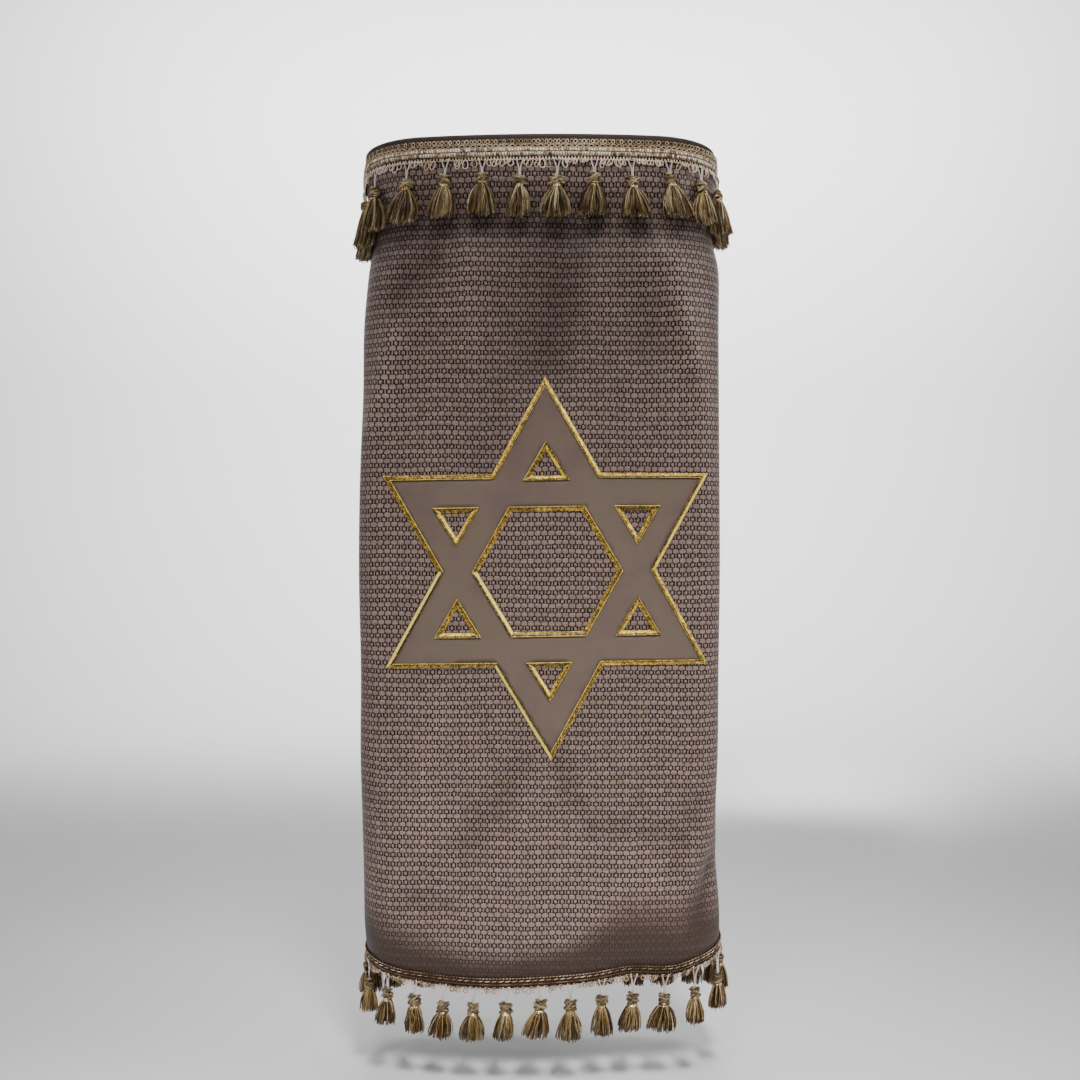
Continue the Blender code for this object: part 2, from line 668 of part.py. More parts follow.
def build_panel(holes):
    """The star's plain band as one sheet, with its windows cut out, lying on the tube."""
    rims = [turned(offset_polygon(star_outline(), -EDGING_WIDTH - GAP))]
    rims += [turned(offset_polygon(corners, GAP)) for corners in holes]
    flat = []
    edges = []
    for rim in rims:
        first = len(flat)
        for start, end in zip(rim, np.roll(rim, -1, axis=0)):
            for share in cut_shares(start, end):
                flat.append(start * (1 - share) + end * share)
        count = len(flat) - first
        edges += [(first + number, first + (number + 1) % count) for number in range(count)]
    found = delaunay_2d_cdt([tuple(map(float, point)) for point in flat], edges, [], 0, 1e-7)
    places = np.array([tuple(point) for point in found[0]])
    faces = []
    for face in found[2]:
        middle = places[list(face)].mean(axis=0)
        if inside(middle, rims[0]) and not any(inside(middle, rim) for rim in rims[1:]):
            faces.append(tuple(face))
    points = on_facets(places[:, 0], places[:, 1], LAID_GAP)
    mesh = bpy.data.meshes.new("star_panel")
    mesh.from_pydata([tuple(map(float, point)) for point in points], [], faces)
    work = bmesh.new()
    work.from_mesh(mesh)
    for face in work.faces:
        if face.normal.y > 0:
            face.normal_flip()
    work.to_mesh(mesh)
    work.free()
    panel = bpy.data.objects.new("star_panel", mesh)
    bpy.context.scene.collection.objects.link(panel)
    mesh.materials.append(new_material("star_panel", PANEL_COLOUR, 0.9))
    add_solidify(panel, PANEL_THICKNESS, 1.0)


def build_star():
    """The star: its panel, and a raised gold line round its outline and each window."""
    window = polygon(WINDOW_RADIUS, 6, 0.0, (0.0, -WINDOWS_BELOW))
    small = [small_window(number) for number in range(6)]
    build_panel([window] + small)
    gold = new_material("gold_stitch", GOLD_COLOUR, 0.35, 0.8)
    build_edging("star_edging", star_outline(), gold)
    build_edging("window_edging", window, gold)
    for number, corners in enumerate(small):
        build_edging(f"small_edging_{number + 1}", corners, gold)


def main():
    """Build the whole mantle."""
    clear_scene()
    build_board()
    build_wall()
    steps = ring_steps()
    level = np.ones_like(steps)
    build_braid("top_braid", (TOP_BRAID_DROP - TOP_BRAID_HEIGHT) * level, TOP_BRAID_DROP * level,
                TOP_TASSELS, TOP_TASSEL_PITCH, True, BRAID_COLOUR)
    hem_drop = hem_at(steps)[0]
    bottom = hem_drop + HEM_BRAID_BELOW
    build_braid("hem_braid", bottom - HEM_BRAID_HEIGHT, bottom, HEM_TASSELS, HEM_TASSEL_PITCH,
                False, TASSEL_COLOUR)
    build_star()


main()
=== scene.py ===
"""Looks of a Torah mantle: a woven cloth tube hung from a covered board, two tasselled braids
and a suede star edged with gold stitch.

Metres, +Z up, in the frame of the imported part: the origin is the centre of the board's underside,
the front faces -Y and the width runs along X. Every surface is worked out as whole arrays from
two numbers, a place round the tube and a drop below the board.
"""

import math

import bmesh
import bpy
import numpy as np
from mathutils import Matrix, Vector
from mathutils.geometry import delaunay_2d_cdt


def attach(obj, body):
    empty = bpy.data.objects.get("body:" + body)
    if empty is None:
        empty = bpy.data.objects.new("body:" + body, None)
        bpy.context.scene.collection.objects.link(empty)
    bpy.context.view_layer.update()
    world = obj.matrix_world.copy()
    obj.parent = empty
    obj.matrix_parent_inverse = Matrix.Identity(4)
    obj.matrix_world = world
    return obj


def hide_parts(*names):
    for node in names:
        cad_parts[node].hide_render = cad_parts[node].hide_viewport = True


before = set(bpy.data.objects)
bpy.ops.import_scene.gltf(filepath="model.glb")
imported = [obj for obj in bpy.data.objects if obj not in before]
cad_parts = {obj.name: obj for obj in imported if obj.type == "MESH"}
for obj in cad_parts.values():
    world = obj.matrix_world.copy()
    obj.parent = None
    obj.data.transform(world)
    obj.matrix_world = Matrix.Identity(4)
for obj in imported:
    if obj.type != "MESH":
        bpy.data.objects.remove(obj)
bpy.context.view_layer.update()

TURN = 2 * math.pi


def millimetres(*rows):
    """A table written in millimetres, as an array in metres."""
    return np.array(rows) / 1000


# The tube's cross-section. Columns: drop below the board, left and right half widths, depths at the
# middle of the front and back, bow, radius of the corners.
SECTIONS = millimetres(
    (0, 172, 172, 86, 86, 8, 74), (20, 171.6, 172.2, 85.8, 85.8, 8, 73.5),
    (50, 169.8, 173.5, 85.2, 85, 7.5, 70.5), (100, 168, 175.7, 82.5, 83, 6.5, 60),
    (160, 171.2, 174.5, 77, 79, 5, 44), (230, 171.2, 174, 74.2, 76.5, 4.5, 32),
    (300, 173.5, 174.2, 73.8, 75.5, 4, 26), (400, 175.2, 175, 72.5, 74.5, 4, 24),
    (500, 174.6, 174.8, 69.8, 73, 4, 27), (580, 176.8, 175.5, 65.2, 71.5, 4, 32),
    (640, 176.6, 174.5, 64.5, 71, 4.5, 39), (700, 175.6, 176.8, 68.5, 71.2, 5, 45),
    (745, 175.6, 179.6, 71.2, 72, 6, 50), (805, 174.5, 181.5, 70.5, 71.2, 6, 53),
)
# Steps round half of the tube: front, corner, side, back corner and back.
STEP_COUNTS = (12, 8, 3, 6, 7)
STEP_STARTS = np.cumsum((0,) + STEP_COUNTS[:-1])
HALF_STEPS = sum(STEP_COUNTS)

# Soft folds. Columns: along and drop where the line starts, and where it ends, height, width.
# How deep a fold sinks the cloth also darkens its colour, and a raised fold lightens it, as painted shade.
FOLDS = millimetres(
    (-460, 79, 460, 79, -4.4, 20), (-460, 58, 460, 58, -3.4, 19), (34, 78, 6, 205, -5, 24),
    (0, 120, -55, 290, -3, 38), (-134, 138, -98, 106, -4.6, 14), (-138, 178, -158, 260, 4.5, 12),
    (122, 100, 146, 200, 4, 13), (78, 110, 108, 180, -3, 20), (70, 200, 85, 330, -2, 50),
    (-20, 590, -70, 668, -3.2, 16), (12, 568, 32, 620, -3.2, 12), (50, 646, 118, 656, -3, 14),
    (-128, 720, -90, 724, -2.8, 12), (-100, 540, -120, 650, 2.4, 20),
    (152, 625, 130, 690, -3.6, 13), (178, 690, 160, 735, -7.5, 17), (115, 700, 75, 742, 1.8, 20),
    (-70, 95, -66, 180, 2.6, 18), (330, 200, 350, 450, -4, 30), (-345, 380, -330, 640, -4, 30),
)
FOLD_DEPTH = 0.006

# The hem. Columns: along, drop of the cloth's lower edge, tuck.
HEM = millimetres(
    (-430, 792, 4), (-300, 793, 5), (-213, 783.5, 2), (-160, 791.5, 6), (-120, 797.5, 9),
    (-60, 801.8, 7), (0, 799.6, 6), (58, 794.6, 9), (85, 790, 11), (130, 790, 11), (158, 783, 7),
    (185, 777, 3), (220, 771.5, 2), (300, 788, 5), (430, 792, 4),
)
TUCK_HEIGHT = 0.045
TUCK_LIMIT = 1.1

# The ribbed cloth above the hem braid, darkened as painted shade where it turns under. Columns: along, how
# far up from the hem it reaches.
TURNED_UP = millimetres(
    (-430, 30), (-260, 34), (-190, 46), (-130, 38), (-60, 26), (10, 26), (50, 40), (85, 58),
    (120, 56), (150, 52), (180, 40), (230, 28), (430, 30),
)

# Cloth
CLOTH_THICKNESS = 0.0020
CLOTH_COLUMNS = 352
CLOTH_ROWS = 126
SEAM_GAP = 0.0003

# The weave: rows of rounded cells, and between them rows of small ovals and thin dashes. The
# cloth's own weight stretches it a little near the top.
CELL_WIDTH = 0.00653
CELL_PERIOD = 0.0085
STRETCH = 0.09
STRETCH_REACH = 0.25
# Painted shade: the share by which a fold's depth darkens, or its height lightens, the cloth's colour.
FOLD_SHADE = 0.38
RIB_PITCH = 0.0014
TWILL_PITCH = 0.0016

# Board. Columns of its edges: height, and how far the face lies inside the outline or outside the
# circle of a hole.
BOARD_EDGE = millimetres((0, 0.6), (0.3, 0), (3.4, -0.3), (4.2, 0.3), (5.0, -0.2), (6.8, 0), (8.0, 0.4),
                         (8.6, 1.0), (9.0, 2.0), (9.1, 3.2))
HOLE_EDGE = millimetres((0, 0.4), (0.4, 0), (7.0, 0), (8.0, 0.3), (8.7, 1.0), (9.1, 2.0))
BOARD_SHARES = np.array((0.0, 0.03, 0.08, 0.2, 0.4, 0.6, 0.8, 0.92, 1.0))[:, None, None]
BOARD_SWELL = 0.0004
CROSSING_POINTS = 40
BOARD_THICKNESS = BOARD_EDGE[-1, 0]
BOARD_WEAVE = 0.0022
HOLE_RADIUS = 0.023
HOLE_SPACING = 0.132
BINDING_STITCHES = 84
BINDING_GAP = 0.0008
BINDING_WIDTH = 0.0042
BINDING_HEIGHT = 0.0011
BINDING_DIP = 0.55
# Columns: share of the width, share of the height.
BINDING = np.array(((0.0, -0.4), (0.06, 0.3), (0.25, 0.85), (0.5, 1.0), (0.75, 0.85), (0.94, 0.3),
                    (1.0, -0.4)))

# Braids. A band has two rows: heights above the braid's lower edge, and lifts off the cloth.
LOOP_PLACES = 2881
BRAID_LIFT = 0.0010
TOP_BRAID_DROP = 0.016
SAG_ALONG = -0.205
SAG_DEPTH = 0.014
SAG_REACH = 0.020
HEM_BRAID_BELOW = 0.001
TOP_GROUND = millimetres((0.4, 0.4, 0.8, 9.0, 18.0, 18.4, 18.4), (0.4, 1.2, 1.5, 1.6, 1.5, 1.2, 0.4))
HEM_GROUND = millimetres((0.4, 0.4, 0.8, 6.0, 11.0, 11.4, 11.4), (0.4, 1.2, 1.6, 1.8, 1.6, 1.2, 0.4))
GROUND_PITCH = 0.0020
GROUND_RIBS = 0.0018
SATIN = millimetres((4.1, 4.3, 5.2, 6.4, 7.2, 7.6, 8.0, 8.8, 10.0, 11.0, 11.2),
                    (1.2, 2.2, 2.9, 3.0, 2.8, 2.3, 2.8, 3.0, 2.9, 2.2, 1.2))
LOOPS_LEFT_OUT = 0.12
SATIN_PITCH = 0.0025
SATIN_SEAM = 0.0076

# Tassels. Columns: along, string, lean, spread, length.
TOP_TASSELS = millimetres(
    (-224, 14, -2, 12.5, 66), (-193, 15, -3, 12.5, 62), (-163, 16, -3, 13.5, 57),
    (-123.5, 14.5, -4, 15, 55), (-86.8, 13, -4, 13.8, 52), (-51.8, 11.5, 0, 14, 50),
    (-16.8, 14, -2, 12.5, 52), (17.7, 14.5, -4, 14.5, 52), (52.2, 12, -6, 14, 51),
    (86.8, 15, 0, 15, 52), (122.2, 12, 3, 14.5, 51), (158, 14, 2, 13, 54), (192, 15, 2, 13, 58),
    (225, 15, 2, 12.5, 62),
)
HEM_TASSELS = millimetres(
    (-206, 11, -1, 10.5, 44), (-181.5, 16.5, -2, 11, 50), (-150, 13.8, -4, 11.4, 49),
    (-122.4, 13.5, 0, 9.8, 50), (-93, 16, -4, 12.5, 51), (-63.4, 14.7, -2, 13, 50),
    (-31.2, 13, -4, 10, 49), (2.4, 12, -6, 14, 48), (31.1, 14.8, -2, 13, 53),
    (61.6, 14, 0, 11.2, 53), (93.1, 18, -4, 12, 54), (124, 18, -4, 14.5, 54),
    (154.5, 19, -1, 10, 54), (186, 19, -2, 10.8, 52), (216, 13, 0, 11, 48),
)
PLAIN_TASSEL = (0.0135, 0.001, 0.0125, 0.051)
TOP_TASSEL_PITCH = 0.0350
HEM_TASSEL_PITCH = 0.0310
TOP_KNOT_LIFT = 0.0056
HEM_KNOT_LIFT = 0.0024
STRING_LIFT = 0.0022
STRING_RADIUS = 0.00062
STRING_APART = 0.0030
STRING_CLOSE = 0.0006
STRING_MEETS = 0.0075
KNOT_HEIGHT = 0.0086
KNOT_LEAST = 0.0028
KNOT_SWELL = 0.0019
KNOT_TILT = 0.0034
KNOT_YARN_RADIUS = 0.00074
WINDINGS = 5
PLY = 3
PLY_SPREAD = 0.0007
CORE = (0.0034, 0.0030, 0.0040)
# The knot's core takes the darkest yarn tone, as painted shade between the windings.
CORE_PAINTED_SHADE_TONE = 0.05
WAIST_HEIGHT = 0.0035
WAIST_RADIUS = 0.0038
COILS = 3
COIL_RADIUS = 0.00066
STRANDS = 145
STRAND_RADIUS = 0.00053
STRAYS = 0.025
LOCKS = 14
SKIRT_ROOT = 0.0040
SKIRT_DEPTH = 0.80
SKIRT_CLEARANCE = 0.0014
# Painted shade on the skirts' colour: none on the top tassels, darker on those that hang under the hem.
TOP_SKIRT_PAINTED_SHADE = (1.0, 1.0, 1.0)
HEM_SKIRT_PAINTED_SHADE = (0.60, 0.55, 0.48)

# Star
STAR_ALONG = 0.0080
STAR_DROP = 0.3960
STAR_RADIUS = 0.1775
STAR_STRETCH = 1.028
STAR_TILT = math.radians(1.0)
WINDOWS_BELOW = 0.0012
WINDOW_RADIUS = 0.0711
SMALL_WINDOW_SIDE = 0.0450
SMALL_WINDOW_DISTANCE = 0.0980
SMALL_WINDOW_SQUASH = 0.975
EDGING_WIDTH = 0.0051
EDGING_HEIGHT = 0.0028
EDGING_LIFT = 0.0009
PANEL_LIFT = 0.0019
PANEL_THICKNESS = 0.0015
PANEL_SPACING = 0.005
PANEL_UNDER_OUTLINE = 0.6
PANEL_UNDER_WINDOW = 0.4
STITCH_PITCH = 0.0011
STITCH_DIPS = (0.00024, 0.0, 0.0)

# The sewn star isn't quite regular. Factors of 1, a, u, a^2, au, u^2, a^3, a^2 u, a u^2 and u^3 for
# moves across and up, where a and u are shares of its half width and half height.
HALF_STAR = (0.155, 0.180)
MOVES_ACROSS = (0.00092, 0.00216, 0.00052, -0.00228, 0.00004, 0.00017, -0.00122, 0.00165, -0.00007, -0.00025)
MOVES_UP = (-0.00115, -0.00008, 0.00162, -0.00058, -0.00131, -0.00034, -0.00097, -0.00120, 0.00081, -0.00018)

# Section of a line of gold stitch from the suede to the cloth: a cord along the top, a groove and
# a slope of flat stitches. Columns: share of the width, share of the height, and the painted
# highlights and painted shade across it, for an edge drawn in shade and for one drawn in light.
RIDGE = np.array((
    (0.0, -0.35, -0.1, -0.1), (0.04, 0.50, 0.0, 0.0), (0.08, 0.90, 0.95, 0.20), (0.14, 1.00, 1.05, 0.25),
    (0.20, 0.90, 0.50, 0.12), (0.26, 0.68, 0.0, 0.10), (0.34, 0.78, 0.16, 0.30), (0.46, 0.66, 0.22, 0.95),
    (0.68, 0.46, 0.18, 1.15), (0.84, 0.23, 0.18, 1.05), (0.92, 0.14, 0.75, 0.60), (0.97, 0.05, 0.1, 0.0),
    (1.0, -0.35, -0.1, -0.1),
))
# How far each edge's painted light goes from the shaded column to the lit one, in the order of the corners.
OUTLINE_PAINTED_LIGHT = (0.50, 0.20, 0.20, 1.25, 0.25, 1.2, 0.15, 0.40, 0.45, 1.0, 0.35, 0.55)
WINDOW_PAINTED_LIGHT = (0.25, 0.25, 0.20, 1.0, 0.05, 0.15)
SMALL_PAINTED_LIGHTS = ((0.10, 0.60, 0.75), (0.75, 0.60, 0.0), (0.50, 0.25, 0.20), (0.35, 0.0, 0.90),
                (0.30, 0.65, 0.45), (0.0, 0.45, 0.30))

# Yarns. Columns: tone, and the colour's red, green and blue as seen on a screen.
CREAM_THREAD = ((0.05, 84, 60, 42), (0.30, 162, 132, 98), (0.52, 218, 194, 160), (0.72, 246, 232, 210),
                (0.90, 236, 204, 190))
DARK_THREAD = ((0.0, 40, 30, 26), (0.5, 82, 66, 56), (1.0, 120, 100, 84))
STRING_THREAD = ((0.0, 150, 130, 120), (0.5, 204, 186, 176), (1.0, 232, 220, 210))
KNOT_YARN = ((0.0, 40, 28, 14), (0.35, 112, 92, 56), (0.65, 168, 145, 104), (1.0, 224, 204, 168))
# The hem knots' yarn is the top knots' yarn made darker: painted shade for the knots that hang under the hem.
HEM_KNOT_YARN_IN_SHADE = ((0.0, 34, 24, 13), (0.35, 74, 58, 34), (0.65, 112, 92, 60), (1.0, 172, 148, 110))

# Floor
FLOOR_HEIGHT = -0.899
FLOOR_RADII = (0.0, 0.4, 0.9, 1.5)
BEND_START = 2.2
BEND_RADIUS = 1.0
WALL_TOP = 4.0

# Lights. Columns: name, place, what it faces, size, watts, how wide it shines in degrees.
LIGHTS = (
    ("high", (0.32, -1.35, 1.10), (0.02, 0.0, -1.60), (0.35, 0.35), 4.6, 46.0),
    ("high_left", (-0.35, -1.35, 1.15), (0.0, 0.0, -1.35), (0.35, 0.35), 1.0, 46.0),
    ("right_side", (1.9, -0.35, 0.30), (0.1, -0.05, -0.45), (0.5, 1.0), 2.1, 60.0),
    ("left_side", (-1.9, -0.35, 0.30), (-0.1, -0.05, -0.35), (0.5, 1.0), 0.8, 60.0),
    ("braid", (-0.5, -1.25, 1.25), (0.0, 0.0, 0.22), (0.30, 0.30), 1.3, 12.0),
    ("top", (0.0, 0.6, 2.2), (0.0, 0.2, -0.9), (1.2, 1.2), 14.0, 100.0),
    ("backdrop", (0.0, 1.4, 1.7), (0.0, 3.2, 0.3), (2.6, 1.0), 150.0, 120.0),
)
SURROUND_STRENGTH = 0.04

# Camera. Its lens and shift are counted in pixels of a picture of 1080 by 1080.
PICTURE = 1080.0
SENSOR = 36.0
LENS_PIXELS = 1280.0
SHIFT_PIXELS = 31.0
CAMERA_DISTANCE = 1.286
CAMERA_YAW = math.radians(1.2)
CAMERA_PITCH = math.radians(2.0)
CAMERA_HEIGHT = -0.3555


def smooth_columns(table, where):
    """Read a table's other columns at places in its first one, along a smooth cubic curve.

    Between two rows it is each row's value and slope x width, weighted by cubics of the share t.
    """
    known = table[:, 0]
    where = np.clip(where, known[0], known[-1])
    slopes = np.gradient(table, known, axis=0)
    start = np.clip(np.searchsorted(known, where, side="right") - 1, 0, len(known) - 2)
    width = known[start + 1] - known[start]
    t = (where - known[start]) / width
    columns = []
    for value, slope in zip(table.T[1:], slopes.T[1:]):
        curve = value[start] * (2 * t**3 - 3 * t**2 + 1) + slope[start] * width * (t**3 - 2 * t**2 + t)
        curve += value[start + 1] * (3 * t**2 - 2 * t**3) + slope[start + 1] * width * (t**3 - t**2)
        columns.append(curve)
    return columns


def matched(*values):
    """Numbers and arrays as arrays of one shape."""
    return np.broadcast_arrays(*(np.asarray(value, float) for value in values))


def xyz(*coordinates):
    """Points of three coordinates."""
    return np.stack(matched(*coordinates), axis=-1)


def outline(steps, drop):
    """The tube's outer face before its folds: x, y, the normal's x and y, and the length along.

    Each half outline is a bowed front, a rounded corner, a straight side, a rounded corner and a
    bowed back. steps runs from 0 at the middle of the front to HALF_STEPS at the middle of the
    back, above 0 on the right and below 0 on the left.
    """
    steps, drop = matched(steps, drop)
    left, right, front, back, bow, corner = smooth_columns(SECTIONS, drop)
    half = np.where(steps < 0, left, right)
    flat = half - corner
    for _ in range(4):
        meet = np.arctan(2 * bow / flat)
        flat = half - corner * (1 - np.sin(meet))
    side = np.where(steps < 0, -1.0, 1.0)
    quarter = math.pi / 2 - meet
    straight = front + back - 2 * bow - 2 * corner * np.cos(meet)
    f, c, s, d, b = (np.clip((np.abs(steps) - start) / count, 0, 1)
                     for start, count in zip(STEP_STARTS, STEP_COUNTS))
    facing = np.arctan(2 * bow * f / flat) + quarter * (c + d)
    facing += np.arctan(2 * bow / flat) - np.arctan(2 * bow * (1 - b) / flat)
    first_turn = meet + quarter * c
    second_turn = quarter * d
    x = flat * f + corner * (np.sin(first_turn) - np.sin(meet))
    x += corner * (np.cos(second_turn) - 1) - flat * b
    y = bow - front - bow * (1 - f**2) + corner * (np.cos(meet) - np.cos(first_turn))
    y += straight * s + corner * np.sin(second_turn) + bow * (1 - (1 - b) ** 2)
    along = flat * (f + b) + corner * quarter * (c + d) + straight * s
    return side * x, y, side * np.sin(facing), -np.cos(facing), side * along


def fold_height(along, drop):
    """How far the folds lift the cloth: each fades as a bell with distance from its line."""
    height = np.zeros_like(along)
    for from_along, from_drop, to_along, to_drop, peak, width in FOLDS:
        run_along = to_along - from_along
        run_drop = to_drop - from_drop
        t = (along - from_along) * run_along + (drop - from_drop) * run_drop
        t = np.clip(t / (run_along**2 + run_drop**2), 0, 1)
        away = np.hypot(along - from_along - t * run_along, drop - from_drop - t * run_drop)
        height += peak * np.exp(-((away / width) ** 2))
    return height


def hem_at(steps):
    """The drop of the hem and how far it is tucked in, for steps round the tube."""
    return smooth_columns(HEM, outline(steps, SECTIONS[-1, 0])[4])


def on_tube(steps, drop, lift=0.0):
    """A point on the tube's outer face, lifted outwards: outline + normal x (folds - tuck + lift)."""
    steps, drop = matched(steps, drop)
    x, y, nx, ny, along = outline(steps, drop)
    hem_drop, tuck = hem_at(steps)
    turn = np.clip((drop - hem_drop + TUCK_HEIGHT) / TUCK_HEIGHT, 0, TUCK_LIMIT)
    out = fold_height(along, drop) - tuck * turn**2 + lift
    return xyz(x + nx * out, y + ny * out, -drop)


def outward_at(steps, drop):
    """The level direction that faces away from the tube."""
    return xyz(*outline(steps, drop)[2:4], 0.0)


def steps_at(along, drop):
    """The steps at which the outline has a given length, found by halving the range.

    A length past the middle of the back comes round on the other side.
    """
    along, drop = matched(along, drop)
    right = outline(HALF_STEPS, drop)[4]
    left = outline(-HALF_STEPS, drop)[4]
    along = np.where(along > right, along - right + left, along)
    along = np.where(along < left, along + right - left, along)
    low = np.full_like(along, -HALF_STEPS)
    high = np.full_like(along, HALF_STEPS)
    for _ in range(20):
        middle = (low + high) / 2
        short = outline(middle, drop)[4] < along
        low = np.where(short, middle, low)
        high = np.where(short, high, middle)
    return (low + high) / 2


def column_steps():
    """Steps for upright lines round the tube, about evenly apart both at the top and lower down."""
    steps = np.linspace(-HALF_STEPS, HALF_STEPS, LOOP_PLACES)
    share = 0.0
    for drop in (0.0, 0.45):
        along = outline(steps, drop)[4]
        share = share + (along - along[0]) / (along[-1] - along[0]) / 2
    return np.interp(np.linspace(0, 1, CLOTH_COLUMNS + 1), share, steps)


class BraidLine:
    """The lower edge of a braid round the tube.

    A place on it is the distance along it from the middle of the front, to the right above 0, and
    a height is measured up from it.
    """

    def __init__(self, drop_at):
        self.drop_at = drop_at
        self.all_steps = np.linspace(-HALF_STEPS, HALF_STEPS, LOOP_PLACES)
        loop = on_tube(self.all_steps, drop_at(self.all_steps), BRAID_LIFT)
        lengths = np.concatenate(((0.0,), np.cumsum(np.linalg.norm(np.diff(loop, axis=0), axis=1))))
        self.lengths = lengths - lengths[LOOP_PLACES // 2]
        self.length = lengths[-1]

    def steps(self, place):
        """Steps round the tube of places along the braid."""
        start = self.lengths[0]
        return np.interp(start + (place - start) % self.length, self.lengths, self.all_steps)

    def points(self, place, height, lift):
        """Points of the braid."""
        steps = self.steps(place)
        return on_tube(steps, self.drop_at(steps) - height, lift)

    def outward(self, place):
        """The level direction that faces away from the tube at places of the braid."""
        steps = self.steps(place)
        return outward_at(steps, self.drop_at(steps))

    def hung(self, place, sideways, fall, lift):
        """Points hung from the braid's edge: sideways of a place, below it, lifted off the cloth."""
        steps = self.steps(place)
        drop = self.drop_at(steps) + fall
        return on_tube(steps_at(outline(steps, drop)[4] + sideways, drop), drop, lift)

    def run(self, pitch, per_turn):
        """Places all round the braid and the angle there, with a whole number of turns of a pitch."""
        turns = round(self.length / pitch)
        angle = np.arange(turns * per_turn) * TURN / per_turn
        return angle * self.length / (turns * TURN), angle


def new_piece(name, parts, *materials, corner_uv=None):
    """A smooth mesh object of several parts: their points, faces, and values kept on the points."""
    listed = []
    first = 0
    for points, faces, _ in parts:
        for block in faces:
            listed += (block + first).tolist()
        first += points.size // 3
    mesh = bpy.data.meshes.new(name)
    mesh.from_pydata(np.concatenate([points.reshape(-1, 3) for points, _, _ in parts]).tolist(), [], listed)
    if corner_uv is not None:
        mesh.uv_layers.new(name="UVMap").data.foreach_set("uv", corner_uv.astype(np.float32).ravel())
    for key in parts[0][2]:
        kept = [np.broadcast_to(np.ravel(values[key]), points.size // 3) for points, _, values in parts]
        stored = mesh.attributes.new(key, "FLOAT", "POINT").data
        stored.foreach_set("value", np.concatenate(kept).astype(np.float32))
    mesh.shade_smooth()
    for material in materials:
        mesh.materials.append(material)
    piece = bpy.data.objects.new(name, mesh)
    bpy.context.scene.collection.objects.link(piece)
    return piece


def add(piece, slot, *nodes):
    """The piece rides on the mantle and stands for nodes, which are hidden. The slot is not used."""
    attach(piece, "root")
    if nodes:
        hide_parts(*nodes)
    return piece


def thicken(piece, thickness, **settings):
    """Give a surface its thickness, inwards."""
    body = piece.modifiers.new("Thickness", "SOLIDIFY")
    body.thickness = thickness
    body.offset = -1.0
    for key, value in settings.items():
        setattr(body, key, value)


def grid_faces(rows, columns, closed_rows=False, closed_columns=False):
    """Four-sided faces of a grid of points, facing so that columns x rows is outwards."""
    row = np.arange(rows if closed_rows else rows - 1)[:, None]
    column = np.arange(columns if closed_columns else columns - 1)
    here, below = row * columns, (row + 1) % rows * columns
    beside = (column + 1) % columns
    return np.stack((here + column, here + beside, below + beside, below + column), axis=-1).reshape(-1, 4)


def grid_part(points, closed_rows=False, flip=False, **values):
    """A grid of points whose rows are rings, as a part of a piece."""
    faces = grid_faces(*points.shape[:2], closed_rows, True)
    return points, [faces[:, ::-1] if flip else faces], values


def threads(paths, reference, radius, sides=4, closed=False, **values):
    """Round threads carried along paths, as a part of a piece.

    paths is threads x places x 3. The section at a place is a regular polygon of the radius in
    the plane of b, the path's direction crossed with the reference, and n, b crossed with the
    direction. A value is given for each thread, or for each place of each.
    """
    count, places, _ = paths.shape
    if closed:
        direction = np.roll(paths, -1, axis=1) - np.roll(paths, 1, axis=1)
    else:
        direction = np.gradient(paths, axis=1)
    direction /= np.linalg.norm(direction, axis=-1, keepdims=True)
    across = np.cross(direction, np.broadcast_to(reference, paths.shape))
    across /= np.linalg.norm(across, axis=-1, keepdims=True)
    normal = np.cross(across, direction)
    angles = np.arange(sides)[:, None] * TURN / sides
    spokes = np.cos(angles) * normal[:, :, None, :] + np.sin(angles) * across[:, :, None, :]
    radius = np.broadcast_to(radius, (count, places))
    points = paths[:, :, None, :] + radius[:, :, None, None] * spokes
    first = np.arange(count)[:, None, None] * places * sides
    faces = [(first + grid_faces(places, sides, closed, True)).reshape(-1, 4)]
    if not closed:
        ring = np.arange(sides)
        faces += [first[:, 0] + ring[::-1], first[:, 0] + ring + (places - 1) * sides]
    for key, value in values.items():
        value = value[:, None] if value.ndim == 1 else value
        values[key] = np.repeat(np.broadcast_to(value, (count, places)), sides)
    return points, faces, values


def dye(red, green, blue):
    """A colour as seen on a screen, 0 to 255, as the shader's linear light."""
    seen = np.array((red, green, blue)) / 255
    return tuple(float(x) for x in np.where(seen <= 0.04045, seen / 12.92, ((seen + 0.055) / 1.055) ** 2.4))


class Value:
    """A number or colour in a finish. Plain arithmetic with it adds a step to the finish."""

    def __init__(self, finish, socket):
        self.finish = finish
        self.socket = socket

    def __add__(self, other):
        return self.finish.calc("ADD", self, other)

    def __sub__(self, other):
        return self.finish.calc("SUBTRACT", self, other)

    def __rsub__(self, other):
        return self.finish.calc("SUBTRACT", other, self)

    def __mul__(self, other):
        return self.finish.calc("MULTIPLY", self, other)

    def __truediv__(self, other):
        return self.finish.calc("DIVIDE", self, other)

    def __pow__(self, other):
        return self.finish.calc("POWER", self, other)

    def __abs__(self):
        return self.finish.calc("ABSOLUTE", self)


